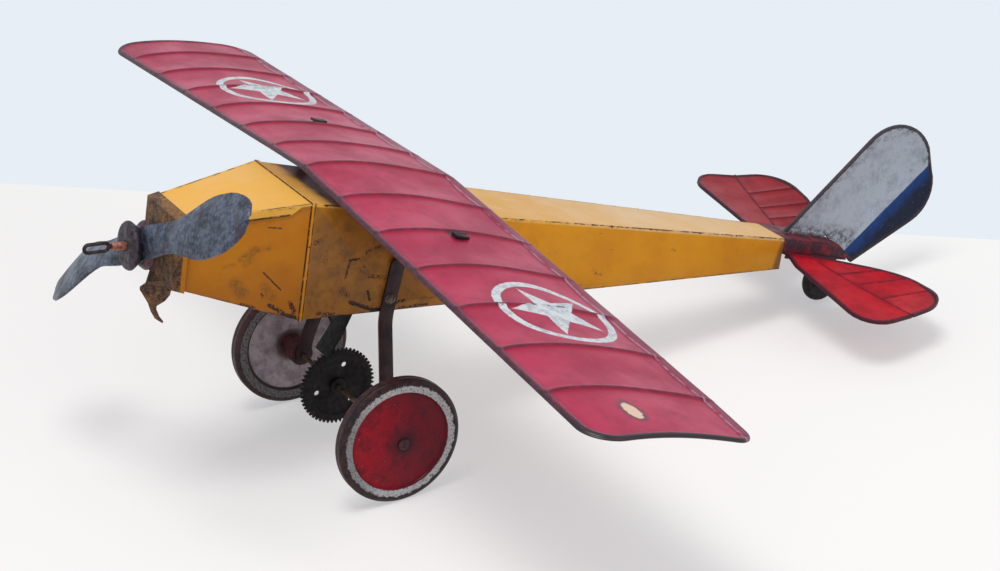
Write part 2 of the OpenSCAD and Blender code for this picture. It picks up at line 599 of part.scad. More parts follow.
// Hub: a boss between the two wheel sheets, a neck through each and a sleeve toward the strut
module hub() rotate([0, 90, 0]) difference() {
    union() {
        lifted(hub_from) cylinder(r = hub_r, h = sheet_in - wheel_t / 2 - fix_gap - hub_from);
        lifted(sheet_in - 2) cylinder(r = hub_hole - fix_gap, h = sheet_out + wheel_t / 2 - sheet_in + 2);
        lifted(sheet_in + wheel_t / 2 + fix_gap)
            cylinder(r = boss_r, h = sheet_out - sheet_in - wheel_t - 2 * fix_gap);
    }
    cylinder(r = axle_r + fix_gap, h = 2 * track_half);
}
hub_from = track_half - wheel_w - hub_out;
module hub_port() color("gray") on_axle() hub();
module hub_starboard() color("gray") on_axle() mirror([1, 0, 0]) hub();
module axle_caps() color("dimgray") for (s = [-1, 1]) on_axle() mirror([s < 0 ? 1 : 0, 0, 0])
    translate([cap_x, 0, 0]) rotate([0, 90, 0]) difference() {
        rotate_extrude()
            polygon([[0, 0], [cap_r, 0], [cap_r, 0.4 * cap_h], [0.6 * cap_r, 0.88 * cap_h], [0, cap_h]]);
        translate([0, 0, -1]) cylinder(r = axle_r + fix_gap, h = cap_bore + 1);
    }

// Clicker tongue: a spring strap riveted under the belly whose tip rides the teeth
module tongue_holes() for (k = [-1, 1]) translate([gear_x + k * tongue_w / 4, 0, belly_at(tongue_aft)])
    cylinder(r = 1.5 + fix_gap, h = 8 * sheet, center = true);
function to_axle(a, u) = [along_y(a, u), along_z(a, u) - wheel_r];
foot_drop = tongue_t / 2 + fix_gap;
rivet_a = tongue_aft + tongue_foot / 2;
tip_r = gear_r + side_gap + tongue_t / 2;
tip_dir = [cos(tongue_at), sin(tongue_at)];
tongue_path = curved([to_axle(tongue_aft + tongue_foot, belly_at(tongue_aft + tongue_foot) - foot_drop),
    to_axle(tongue_aft, belly_at(tongue_aft) - foot_drop),
    mix(to_axle(tongue_aft, belly_at(tongue_aft) - foot_drop), tip_r * tip_dir, 0.64) + [0.8, -1.2],
    tip_r * tip_dir], 2.5);
module clicker_tongue() color("black") difference() {
    at_axle() translate([gear_x, 0, 0]) across(tongue_w) polygon(strip_outline(tongue_path, tongue_t));
    in_body() translate([0, rivet_a, 0]) tongue_holes();
}
module clicker_rivets() color("silver") in_body() for (k = [-1, 1])
    translate([gear_x + k * tongue_w / 4, rivet_a, belly_at(rivet_a)]) {
        cylinder(r = 1.5, h = 3 * sheet + 2 * tongue_t + 2, center = true);
        lifted(-tongue_t - 3 * fix_gap - 1) cylinder(r1 = 1.9, r2 = 2.7, h = 1);
        lifted(sheet + fix_gap) cylinder(r1 = 2.7, r2 = 1.9, h = 1);
    }

// Propeller: a stamped blank with two twisted paddle blades, held between two cups
blade_r = concat([for (f = [0, 0.225, 0.375, 0.5, 0.625, 0.75, 0.875]) f * neck_r],
    [for (k = [0:7]) mix(neck_r, prop_r - round_l, k / 7)],
    [for (g = [18:12:90]) prop_r - round_l * (1 - sin(g))]);
blade_rows = [-1, -0.6, -0.2, 0.2, 0.6, 1];
blade_crown = 1.6;
twist_from = cup_r - 0.6;
twist_run = 0.65 * neck_r;
curl_from = 0.75 * neck_r;
function smooth(t) = let (k = min(1, max(0, t))) k * k * (3 - 2 * k);
function blade_half(r) = let (w = mix(root_w, blade_w, smooth((r - neck_r) / (0.36 * prop_r))) / 2)
    let (e = (r - prop_r + round_l) / round_l) e <= 0 ? w : max(0.6, w * sqrt(max(0, 1 - pow(e, 2.4))));
// Place of a blade's face at the radius r, q running from edge to edge, up the side of the sheet
function blade_point(r, q, twist, bend, curl, sweep, up) =
    let (w = q * blade_half(r) + max(0, r - neck_r) * tan(sweep))
    let (g = twist * smooth((r - twist_from) / twist_run))
    let (h = blade_crown * (1 - q * q) * smooth(r / prop_r * 2 - 0.3) + up)
    let (aft = max(0, r - cup_r) * tan(bend) + curl * pow(max(0, r - curl_from) / (prop_r - curl_from), 2))
    [r, w * cos(g) - h * sin(g), w * sin(g) + h * cos(g) - aft];
module blade(twist, bend, curl, sweep) {
    function face(up) = [for (r = blade_r)
        [for (q = blade_rows) blade_point(r, q, twist, bend, curl, sweep, up)]];
    skin(face(blade_t / 2), face(-blade_t / 2));
}
module propeller() color("slategray") on_shaft() translate([0, 0, hub_ahead]) rotate(prop_turn) difference() {
    union() {
        blade(twist_port, bend_port, curl_port, sweep_port);
        rotate(180) blade(twist_star, bend_star, curl_star, sweep_star);
        cylinder(r = cup_r - 3, h = blade_t, center = true);
    }
    cylinder(r = sleeve_d / 2 + fix_gap, h = 2 * cup_r, center = true);
}
// Section of a cup: from the blank's face out to the rolled rim and in to the sleeve
cup_t = 1;
cup_path = curved([[cup_r - 4.4, cup_t / 2], [cup_r - 3, 0.8], [cup_r - cup_t / 2, 3.8], [cup_r - 1.4, 5.4],
    [cup_r - 5, 5.9], [sleeve_d / 2 + 0.5, 5.4]], 0.8, 3);
module cup() difference() {
    union() {
        lifted(blade_t / 2 + fix_gap) rotate_extrude($fn = 64) polygon(strip_outline(cup_path, cup_t));
        lifted(blade_t / 2 + fix_gap) cylinder(r = cup_r - 4, h = cup_t);
    }
    cylinder(r = sleeve_d / 2 + fix_gap, h = 2 * cup_r, center = true);
}
module hub_cup_front() color("slategray") on_shaft() translate([0, 0, hub_ahead]) cup();
module hub_cup_rear() color("slategray") on_shaft() translate([0, 0, hub_ahead]) mirror([0, 0, 1]) cup();
module shaft_sleeve() color("chocolate") on_shaft() difference() {
    lifted(side_gap) cylinder(d = sleeve_d, h = sleeve_l - side_gap);
    cylinder(r = pin_d / 2 + run_gap, h = 3 * sleeve_l, center = true);
}
// Split pin: a shank with a flattened eye in front and two legs spread behind the nose plate
eye_d = pin_d * 0.84;
eye_r = (eye_w - eye_d) / 2;
module split_pin() color("darkslategray") on_shaft() {
    translate([0, 0, -2 * sheet - 1]) cylinder(d = pin_d, h = sleeve_l + side_gap + 2 * sheet + 2.2);
    for (s = [-1, 1]) translate([0, s * pin_d * 0.16, -2 * sheet - 0.6]) rotate([s * 38, 0, 0])
        mirror([0, 0, 1]) cylinder(d = pin_d * 0.62, h = 8);
    translate([0, 0, sleeve_l + side_gap]) rotate([eye_tilt, 0, 0]) {
        lifted(eye_d / 2) rotate([0, -90, 0]) {
            translate([eye_r, 0, 0]) rotate(-90) rotate_extrude(angle = -180)
                translate([eye_r, 0]) circle(d = eye_d);
            translate([eye_l - eye_r - eye_d, 0, 0]) rotate(-90) rotate_extrude(angle = 180)
                translate([eye_r, 0]) circle(d = eye_d);
            for (s = [-1, 1]) translate([eye_r, s * eye_r, 0]) rotate([0, 90, 0])
                cylinder(d = eye_d, h = eye_l - 2 * eye_r - eye_d);
        }
    }
}

// Tail: a folded channel behind the body's end carries the fin, the tailplane and the fork
channel_cut = 14;
// Four tabs of the channel's sides pass through the tailplane
module plane_tabs(grow) for (a = [8, 32], s = [-1, 1]) translate([s * (tail_w - sheet) / 2, a, -channel_h])
    cube([sheet + 2 * grow, 7 + 2 * grow, 8], center = true);
module tail_channel() color("firebrick") in_tail() {
    difference() {
        across(tail_w) polygon([[fix_gap, 0], [channel_l - channel_cut, 0], [channel_l, -channel_h],
            [channel_l, -channel_h - 2], [fix_gap + (channel_h + 2) * tan(fall_angle), -channel_h - 2]]);
        lifted(-channel_h - sheet) cube([tail_w - 2 * sheet, 3 * channel_l, 2 * channel_h], center = true);
        for (a = [fin_tab_1, fin_tab_2]) translate([0, a, 0])
            cube([tail_t + 2 * fix_gap, 7 + 2 * fix_gap, 4 * sheet], center = true);
        lifted(plane_z + tail_t / 2 + fix_gap - 10) cube([2 * tail_w, 3 * channel_l, 20], center = true);
    }
    plane_tabs(0);
}
fin_tab_1 = 16;
fin_tab_2 = 36;
module edge_ring(h, in_by) linear_extrude(h, center = true) difference() {
    children();
    offset(-in_by) children();
}
// Tailplane: one sheet whose middle lies flat under the channel, with a hem round each half. A
// pressed line parts each elevator from the fixed panel, and three more run across the elevator.
plane_mid = tail_w / 2 + side_gap;
notch = 0.6;
mid_front = (tail_t - plane_z) * tan(fall_angle) + fix_gap;
mid_rear = tail_wheel_aft + fork_w / 2 + 2;
hinge_root = [tail_w / 2 + 3, 0.327 * plane_te];
hinge_tip = [0.95 * plane_half, 0.545 * plane_te];
hinge_across = left_of(unit(hinge_tip - hinge_root));
le_c = [plane_half - plane_le_r, plane_le + plane_le_r];
te_c = [plane_half - plane_rake - plane_te_r, plane_te - plane_te_r];
// Rear edge from the root to the start of the tip's corner: one bow through the points b
te_b = [[tail_w / 2, 0.332 * plane_te], [0.342 * plane_half, 1.042 * plane_te],
    te_c + plane_te_r * [cos(99), sin(99)]];
function bow_t(x) = let (a = te_b[0].x - 2 * te_b[1].x + te_b[2].x, b = te_b[1].x - te_b[0].x)
    (sqrt(b * b - a * (te_b[0].x - x)) - b) / a;
function bow_y(t) = te_b[0].y * (1 - t) * (1 - t) + te_b[1].y * 2 * t * (1 - t) + te_b[2].y * t * t;
function round_off(d, r) = sqrt(max(0, r * r - d * d));
function plane_front(x) = x <= le_c.x ? plane_le : le_c.y - round_off(x - le_c.x, plane_le_r);
function plane_rear(x) = x <= te_b[2].x ? bow_y(bow_t(x)) : te_c.y + round_off(x - te_c.x, plane_te_r);
line_x = [for (f = [0.38, 0.53, 0.727]) f * plane_half];
line_w = 0.9;
line_gap = 0.058 * plane_half;
tip_step = 0.25 * plane_le_r;
plane_x = concat([plane_mid + notch, mix(plane_mid, line_x[0], 0.22), mix(plane_mid, line_x[0], 0.5)],
    [for (x = line_x) each [x - line_gap, x - line_w, x, x + line_w, x + line_gap]],
    [le_c.x, le_c.x + tip_step]);
plane_ends = [for (x = plane_x) [[x, plane_front(x)], [x, plane_rear(x)]]];
// Both corners run on to the straight end between them, which leans by tip_lean
tip_v = te_c - le_c;
tip_lean = atan2(tip_v.y, tip_v.x) - acos((plane_le_r - plane_te_r) / norm(tip_v));
tip_from = [asin(tip_step / plane_le_r), asin((le_c.x + tip_step - te_c.x) / plane_te_r)];
tip_ends = [for (k = [1:5]) let (g = mix(tip_from[0], 90 + tip_lean, k / 5))
    let (h = mix(tip_from[1], 90 - tip_lean, k / 5))
    [le_c + plane_le_r * [sin(g), -cos(g)], te_c + plane_te_r * [sin(h), cos(h)]]];
half_ends = concat([[[plane_mid, mid_front], [plane_mid, mid_rear]]], plane_ends, tip_ends);
// Rows of one column, as parts of its length from the front end p to the rear end q
plane_hem = 1.8;
function plane_rows(p, q) = let (h = plane_hem / norm(q - p), w = line_w / norm(q - p))
    let (at = ((hinge_root - p) * hinge_across) / ((q - p) * hinge_across))
    let (t = max(2 * h + w, min(1 - 2 * h - w, at)))
    let (e = h / 3)
    [0, h, h + e, (h + t - w) / 2, t - w, t, t + w, (t + w + 1 - h - e) / 2, 1 - h - e, 1 - h, 1];
// Height of the sheet over the plane of its middle, on the port side where s is 1
function plane_up(s, x, y) = smooth((x - plane_mid - notch) * 10 / plane_half)
    * (x * (tan(plane_rise) - s * tan(plane_lean))
    + (y - 0.272 * plane_te) * x / plane_half * tan(side(s, warp_port, warp_star))
    + max(0, ([x, y] - hinge_root) * hinge_across) * tan(side(s, lift_port, lift_star)));
function on_line(x) = min([for (q = line_x) abs(x - q)]) < eps;
function pressed(x, row) = x > plane_mid && (row == 5 || row > 5 && row < 9 && on_line(x)) ? line_h : 0;
function plane_extra(k, row) = k > 0 && (row < 2 || row > 8 || k > len(half_ends) - 3)
    ? (edge_t - tail_t) / 2 : 0;
function plane_column(s, k, up) = let (p = half_ends[k][0], q = half_ends[k][1], rows = plane_rows(p, q))
    [for (i = [0:len(rows) - 1]) let (c = mix(p, q, rows[i]))
        let (z = plane_z + plane_up(s, c.x, c.y) + pressed(p.x, i))
        [s * c.x, c.y, z + up * (tail_t / 2 + plane_extra(k, i))]];
function plane_face(up) = concat([for (k = [len(half_ends) - 1:-1:0]) plane_column(-1, k, up)],
    [for (k = [0:len(half_ends) - 1]) plane_column(1, k, up)]);
module tailplane() color("red") in_tail() difference() {
    skin(plane_face(1), plane_face(-1));
    plane_tabs(fix_gap);
}

// Fin: a leaning paddle whose two tabs pass through the channel's top
fin_front = [body_l + fin_foot, top_at(body_l) - fin_foot * tan(fall_angle) + 0.6];
fin_low = [body_l + channel_l + 10, belly_at(body_l) - 3.4];
foot_run = channel_l - channel_cut - fin_foot;
function tangent_from(p, c, r, s) = let (d = c - p, b = asin(r / norm(d))) atan2(d.y, d.x) + s * (90 + b);
function fin_outline() = concat([fin_front, fin_front + [foot_run, -foot_run * tan(fall_angle)], fin_low],
    arc(fin_c2, fin_rear_r, tangent_from(fin_low, fin_c2, fin_rear_r, -1), 30, 8),
    arc(fin_c1, fin_top_r, 30, tangent_from(fin_front, fin_c1, fin_top_r, 1), 12));
module fin() color("lightgray") in_body() {
    across(tail_t) polygon(fin_outline());
    rotate([90, 0, 90]) edge_ring(edge_t, 1.8) polygon(fin_outline());
    translate([0, body_l, -tail_fall]) rotate([-fall_angle, 0, 0])
        for (a = [fin_tab_1, fin_tab_2]) translate([0, a, -1.2]) cube([tail_t, 7, 4.4], center = true);
}

// Tail wheel and its fork
module at_tail_axle() in_body() translate([0, tail_a, tail_u]) children();
leg_x = tail_wheel_w / 2 + side_gap + fork_t / 2;
fork_path = curved([[-leg_x, 0], [-leg_x, fork_leg], [leg_x, fork_leg], [leg_x, 0]], 1.4);
module tail_fork() color("firebrick") at_tail_axle() rotate([-fall_angle, 0, 0]) difference() {
    union() {
        rotate([90, 0, 0]) linear_extrude(fork_w, center = true) polygon(strip_outline(fork_path, fork_t));
        for (s = [-1, 1]) rod_x(fork_w / 2, fork_t, s * leg_x);
    }
    rod_x(tail_axle_d / 2 + fix_gap, 4 * leg_x);
}
module tail_axle() color("silver") at_tail_axle() rod_x(tail_axle_d / 2, 2 * leg_x + fork_t + 2.4);
module tail_wheel() color("black") at_tail_axle() rotate([0, 90, 0]) difference() {
    rotate_extrude() polygon(concat([[0, -tail_wheel_w * 0.32], [tail_r * 0.6, -tail_wheel_w * 0.32]],
        arc([tail_r - tail_wheel_w / 2, 0], tail_wheel_w / 2, -90, 90, 10),
        [[tail_r * 0.6, tail_wheel_w * 0.32], [0, tail_wheel_w * 0.32]]));
    cylinder(r = tail_axle_d / 2 + run_gap, h = 2 * tail_wheel_w, center = true);
}

body_shell();
cowl_sides();
cowl_top();
nose_plate();
wing();
strut_port();
strut_starboard();
strut_screws();
front_axle();
clicker_wheel();
clicker_collar();
clicker_tongue();
clicker_rivets();
wheel_port_outer();
wheel_port_inner();
wheel_starboard_outer();
wheel_starboard_inner();
hub_port();
hub_starboard();
axle_caps();
propeller();
hub_cup_front();
hub_cup_rear();
shaft_sleeve();
split_pin();
tail_channel();
tailplane();
fin();
tail_fork();
tail_axle();
tail_wheel();
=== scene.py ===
"""Looks of a pressed-steel pull toy, a monoplane of about 1930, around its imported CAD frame.

Lengths named in millimetres carry the suffix _MM and turn to metres where they are used.
In the airframe's tilted frame a runs aft from the cowl seam and u runs up from its top edge.
Colours are eight-bit display values and turn linear where they enter a node.
"""

import math

import bpy
import numpy as np
from mathutils import Matrix, Vector


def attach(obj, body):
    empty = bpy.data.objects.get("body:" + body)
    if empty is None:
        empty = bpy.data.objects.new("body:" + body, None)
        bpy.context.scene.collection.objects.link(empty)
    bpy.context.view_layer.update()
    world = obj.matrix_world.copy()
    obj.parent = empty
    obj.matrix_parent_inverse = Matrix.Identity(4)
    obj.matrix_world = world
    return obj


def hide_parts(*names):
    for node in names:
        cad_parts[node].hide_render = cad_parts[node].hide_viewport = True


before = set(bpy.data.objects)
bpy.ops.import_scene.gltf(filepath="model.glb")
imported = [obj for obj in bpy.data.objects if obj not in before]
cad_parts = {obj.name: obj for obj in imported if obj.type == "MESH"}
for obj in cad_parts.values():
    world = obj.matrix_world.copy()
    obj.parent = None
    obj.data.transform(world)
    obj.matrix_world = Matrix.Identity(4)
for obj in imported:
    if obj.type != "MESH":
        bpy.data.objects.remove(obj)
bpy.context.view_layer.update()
MM = 0.001

# The stance of the airframe, as in the part's source
MIDDLE_X_MM = -6.0
AXLE_Y_MM = -145.822
AXLE_Z_MM = 36.5
SEAM_AHEAD_MM = 22.4
SEAM_RISE_MM = 131.1
BODY_PITCH = math.radians(11.9005)
PORT, AHEAD = (1, 0, 0), (0, -1, 0)
AFT = Vector((0, math.cos(BODY_PITCH), -math.sin(BODY_PITCH)))
UP = Vector((0, math.sin(BODY_PITCH), math.cos(BODY_PITCH)))
SEAM = Vector((MIDDLE_X_MM, AXLE_Y_MM - SEAM_AHEAD_MM, AXLE_Z_MM + SEAM_RISE_MM)) * MM

# The fuselage box at the seam, the tail end and the nose
SEAM_W_MM, SEAM_H_MM = 75.0, 66.5
BODY_L_MM, TAIL_W_MM, TAIL_H_MM, TAIL_FALL_MM = 341.5, 28.6, 20.1, 40.9
BEAD_W_MM, FLAP_D_MM, FLAP_END_MM = 2.4, 4.6, 10.0
COWL_L_MM, NOSE_W_MM, NOSE_H_MM, NOSE_FALL_MM = 67.9, 40.4, 37.5, 13.5
NOSE_LOW_MM, TAIL_LOW_MM = -NOSE_FALL_MM - NOSE_H_MM, -TAIL_FALL_MM - TAIL_H_MM

# The wing, as in the part's source
RIB_PITCH_MM, RIB_COUNT = 42.0, 6
LAST_RIB_MM = RIB_PITCH_MM * RIB_COUNT
TIP_PORT_MM, TIP_STAR_MM = 47.5, 35.5
CHORD_MM, CAMBER_MM, CREST_AT, CREST_POWER = 98.5, 4.8, 0.8, 0.9
RIB_H_MM, RIB_W_MM, BAY_SAG_MM, DENT_MM = 1.3, 3.0, 0.9, 0.22
WING_T_MM, HEM_T_MM, HEM_W_MM, FOLD_W_MM = 1.0, 2.2, 3.0, 7.5
WING_AFT_MM, WING_UP_MM = 9.9, 8.4
WING_SET, DROOP, WASH = math.radians(5.6), 4.7, 0.8
WING_LEAN, WING_WARP, WING_YAW, WING_SKEW = 2.5, 1.5, 0.9, 0.6
LE_R_MM, TE_R_PORT_MM, TE_R_STAR_MM = 18.0, 13.0, 19.0
RAKE_PORT_MM, RAKE_STAR_MM = 11.0, 3.0
CREASE_R_MM = 5.0

# The roundels on the wing: a ring round a five-pointed star
ROUNDEL_SHIFT_MM, ROUNDEL_X_MM, ROUNDEL_C_MM = 3.5, 168.0, 56.5
RING_OUT_MM, RING_IN_MM, STAR_R_MM, STAR_INNER = 32.0, 27.5, 25.5, 0.382


def linear(colour):
    """Linear colour of an eight-bit display colour; a socket stays as it is."""
    if isinstance(colour, bpy.types.NodeSocket):
        return colour
    parts = [v / 255 for v in colour]
    return tuple(((v + 0.055) / 1.055) ** 2.4 if v > 0.04 else v / 12.92 for v in parts) + (1.0,)


class Paint:
    """One procedural material, built from short calls that return sockets.

    Distances are in millimetres, and tone is the colour laid so far.
    """

    def __init__(self, name, roughness, specular=0.3, metallic=0.0, coat=0.0):
        self.material = bpy.data.materials.new(name)
        self.material.use_nodes = True
        self.tree = self.material.node_tree
        self.tree.nodes.clear()
        self.shader = self.tree.nodes.new("ShaderNodeBsdfPrincipled")
        output = self.tree.nodes.new("ShaderNodeOutputMaterial")
        self.tree.links.new(self.shader.outputs[0], output.inputs[0])
        self.shader.inputs["Roughness"].default_value = roughness
        self.shader.inputs["Metallic"].default_value = metallic
        self.shader.inputs["Coat Weight"].default_value = coat
        self.shader.inputs["Coat Roughness"].default_value = 0.25
        self.shader.inputs["Specular IOR Level"].default_value = specular
        self.place = self.tree.nodes.new("ShaderNodeTexCoord").outputs["Object"]
        self.tone = None

    def node(self, kind, inputs, output=0, **settings):
        n = self.tree.nodes.new(kind)
        for key, value in settings.items():
            setattr(n, key, value)
        for key, value in inputs.items():
            self.put(n.inputs[key], value)
        return n.outputs[output]

    def put(self, socket, value):
        if isinstance(value, bpy.types.NodeSocket):
            self.tree.links.new(value, socket)
        else:
            socket.default_value = value

    def math(self, operation, a, b=0.0, c=0.0):
        return self.node("ShaderNodeMath", {0: a, 1: b, 2: c}, operation=operation)

    def add(self, a, b):
        return self.math("ADD", a, b)

    def sub(self, a, b):
        return self.math("SUBTRACT", a, b)

    def mul(self, a, b):
        return self.math("MULTIPLY", a, b)

    def least(self, a, b):
        return self.math("MINIMUM", a, b)

    def most(self, a, b):
        return self.math("MAXIMUM", a, b)

    def abs(self, a):
        return self.math("ABSOLUTE", a)

    def length(self, a, b):
        """Length of the hypotenuse over a and b."""
        return self.math("SQRT", self.add(self.mul(a, a), self.mul(b, b)))

    def ramp(self, value, low, high, to_low, to_high, kind="LINEAR"):
        inputs = {0: value, 1: low, 2: high, 3: to_low, 4: to_high}
        return self.node("ShaderNodeMapRange", inputs, interpolation_type=kind)

    def step(self, value, low, high, to_low=0.0, to_high=1.0):
        """Smooth step of value from low to high."""
        return self.ramp(value, low, high, to_low, to_high, "SMOOTHSTEP")

    def fall(self, value, low, high, top=1.0):
        """Smooth step down from top at low to 0 at high."""
        return self.step(value, low, high, top, 0.0)

    def mix(self, share, a, b):
        inputs = {0: share, 6: linear(a), 7: linear(b)}
        return self.node("ShaderNodeMix", inputs, output=2, data_type="RGBA")

    def lay(self, mask, colour, strength=None):
        """Lays a colour over the tone where mask is 1."""
        if strength is not None:
            mask = self.mul(mask, strength)
        self.tone = self.mix(mask, self.tone, colour)

    def stretched(self, scale, turn=(0, 0, 0)):
        inputs = {"Vector": self.place, "Scale": scale, "Rotation": turn}
        return self.node("ShaderNodeMapping", inputs)

    def noise(self, size_mm, detail, rough=0.55, vector=None):
        """Noise from 0 to 1 whose features are about size_mm across."""
        inputs = {"Vector": vector or self.place, "Scale": 1 / (size_mm * MM)}
        return self.node("ShaderNodeTexNoise", {**inputs, "Detail": detail, "Roughness": rough})

    def spots(self, grain, *limits):
        """Smooth step of a noise, whose size, detail and roughness are in grain."""
        return self.step(self.noise(*grain), *limits)

    def fray(self, reach, *grain):
        """Noise around 0 that is reach wide, to make an edge ragged."""
        return self.mul(self.sub(self.noise(*grain), 0.5), reach)

    def cells(self, size_mm):
        """Distance from the middle of a cell, for cells about size_mm across."""
        inputs = {"Vector": self.place, "Scale": 1 / (size_mm * MM)}
        return self.node("ShaderNodeTexVoronoi", inputs)

    def attribute(self, name):
        return self.node("ShaderNodeAttribute", {}, output=2, attribute_name=name)

    def finish(self, roughness, height, strength, depth_mm):
        """Joins the tone, the roughness and a relief to the shader."""
        relief = {"Height": height, "Strength": strength, "Distance": depth_mm * MM}
        self.put(self.shader.inputs["Base Color"], self.tone)
        self.put(self.shader.inputs["Roughness"], roughness)
        self.put(self.shader.inputs["Normal"], self.node("ShaderNodeBump", relief))
        return self.material

    def along(self, direction, origin):
        """Distance of the surface along a direction from an origin."""
        offset = self.node(
            "ShaderNodeVectorMath", {0: self.place, 1: origin}, operation="SUBTRACT"
        )
        dot = self.node(
            "ShaderNodeVectorMath", {0: offset, 1: direction}, output=1, operation="DOT_PRODUCT"
        )
        return self.mul(dot, 1 / MM)

    def side_place(self):
        """a and u of the surface in the airframe's frame."""
        return self.along(AFT, SEAM), self.along(UP, SEAM)

    def line(self, a, at_nose, at_seam, at_tail):
        """Value that runs straight from the nose to the seam and from there to the tail end."""
        ahead = self.ramp(a, -COWL_L_MM, 0.0, at_nose, at_seam)
        behind = self.ramp(a, 0.0, BODY_L_MM, 0.0, at_tail - at_seam)
        return self.add(ahead, behind)

    def below_top(self, a, u):
        """Depth of the surface below the fuselage's top."""
        return self.sub(self.line(a, -NOSE_FALL_MM, 0.0, -TAIL_FALL_MM), u)

    def from_edges(self):
        """Distance from the nearest long edge of the fuselage box."""
        x = self.abs(self.along(PORT, SEAM))
        a, u = self.side_place()
        side = self.abs(self.sub(self.line(a, NOSE_W_MM / 2, SEAM_W_MM / 2, TAIL_W_MM / 2), x))
        upper = self.abs(self.below_top(a, u))
        lower = self.abs(self.sub(u, self.line(a, NOSE_LOW_MM, -SEAM_H_MM, TAIL_LOW_MM)))
        return self.most(side, self.least(upper, lower)), a, u

    def radius(self, centre_mm):
        """Distance from a cross axle through centre_mm, given as y and z."""
        y, z = (self.node("ShaderNodeSeparateXYZ", {0: self.place}, axis) for axis in "YZ")
        dy = self.sub(self.mul(y, 1 / MM), centre_mm[0])
        dz = self.sub(self.mul(z, 1 / MM), centre_mm[1])
        return self.length(dy, dz)

    def stroke(self, across, along, ends, half_w):
        """Soft share from 0 to 1 of a stroke between two points, in millimetres."""
        start, end = Vector(ends[:2]), Vector(ends[2:])
        way = (end - start).normalized()
        da, du = self.sub(across, start.x), self.sub(along, start.y)
        run = self.add(self.mul(da, way.x), self.mul(du, way.y))
        run = self.least(self.most(run, 0.0), (end - start).length)
        da, du = self.sub(da, self.mul(run, way.x)), self.sub(du, self.mul(run, way.y))
        return self.fall(self.length(da, du), half_w * 0.25, half_w * 1.5)

    def strokes(self, across, along, marks):
        """Strongest of several strokes, each given as its ends, half width and strength."""
        total = 0.0
        for *ends, half_w, strength in marks:
            total = self.most(total, self.mul(self.stroke(across, along, ends, half_w), strength))
        return total

    def crumbled(self, share):
        """Speckled chips that close up where share nears 1."""
        grain = self.add(self.mul(share, 0.42), self.noise(1.1, 5, 0.75))
        return self.step(grain, 0.71, 0.78)

    def inside(self, across, along, point, normal):
        """Depth below a straight edge through a point with an outward normal."""
        da, du = self.sub(point[0], across), self.sub(point[1], along)
        return self.add(self.mul(da, normal[0]), self.mul(du, normal[1]))

    def in_corner(self, across, along, centre, radius):
        """Depth inside a rounded corner."""
        da, du = self.sub(across, centre[0]), self.sub(along, centre[1])
        return self.sub(radius, self.length(da, du))

    def chips(self, near_edge, size_mm, cover, edge_cover):
        """Chipped spots from 0 to 1, denser where near_edge is 1."""
        fine, coarse = self.noise(size_mm, 5, 0.6), self.noise(size_mm * 4, 3)
        speck = self.add(self.mul(fine, 0.6), self.mul(coarse, 0.4))
        limit = self.sub(cover + 0.15, self.mul(near_edge, edge_cover))
        return self.step(self.sub(speck, limit), 0.0, 0.025)


# Colours of the fuselage sheets: clean, dull and dirty enamel; the top colours are painted paler,
# painted light from above
COWL_SIDE = ((170, 104, 4), (158, 92, 4), (122, 70, 10))
COWL_TOP_LIT = ((220, 164, 66), (213, 154, 56), (184, 118, 40))
BODY_SIDE = ((196, 130, 6), (186, 118, 6), (130, 80, 18))
BODY_TOP_LIT = (212, 160, 74)
GRIME = (104, 72, 36)
BARE = (38, 27, 26)
SMUDGE = (78, 58, 26)
# Marks of at least this strength go down to the metal
BARE_FROM = 0.7

# Smudges and scratches on the port side, each from a, u to a, u, with half width and strength
COWL_MARKS = (
    (-35, -47, -31, -52, 3.6, 0.62),
    (-33, -33, -26, -27.5, 2.2, 0.66),
    (-31, -36, -28, -33, 1.8, 0.5),
    (-22, -27, -19, -26, 1.2, 0.5),
    (-42, -38, -36, -36, 1.0, 0.4),
    (-21, -40, -11, -49.4, 0.5, 1.0),
    (-21, -14.5, -14, -14.5, 0.5, 0.8),
    (-20, -48, -15, -54, 2.6, 0.5),
    (-21, -52, -20, -54, 0.9, 0.7),
    (-5, -57, -2.5, -62, 1.8, 0.75),
    (-16, -58.5, -9, -62.5, 1.8, 0.75),
    (-31, -58.2, -24, -60, 1.1, 0.7),
    (-8, -63.5, -2, -65, 1.6, 0.8),
)
BODY_MARKS = (
    (2, -24, 7, -21.5, 2.0, 0.55),
    (9, -32, 13, -34, 3.0, 0.4),
    (28, -34, 34, -33.5, 1.0, 0.8),
    (38, -30, 46, -27, 1.3, 0.6),
    (26.6, -44, 28.4, -35, 0.9, 0.75),
    (30, -36, 40, -42, 3.4, 0.45),
    (42, -44, 52, -46, 2.0, 0.6),
    (25, -51, 30, -55, 3.0, 0.5),
    (42, -53, 44, -58, 1.2, 0.8),
    (31.5, -58.5, 46, -64, 1.6, 0.85),
    (46, -64, 58, -65.6, 1.6, 0.85),
    (55, -62, 67, -60, 1.3, 0.75),
    (64, -64.6, 82, -63.4, 1.3, 0.7),
    (12, -63.5, 22, -65, 1.8, 0.6),
    (252, -42, 255, -43, 1.0, 0.55),
    (196, -52, 202, -55, 2.0, 0.45),
)
# Painted shadow of the wing, with some soot, on the body's top under the wing: where it sets in,
# where it ends and its port limit
WING_SHADOW_FROM_MM, WING_SHADOW_TO_MM, WING_SHADOW_PORT_MM = (7.0, 20.0), (60.0, 90.0), (8.0, 34.0)
WING_SHADOW_FRAY_MM = 14.0


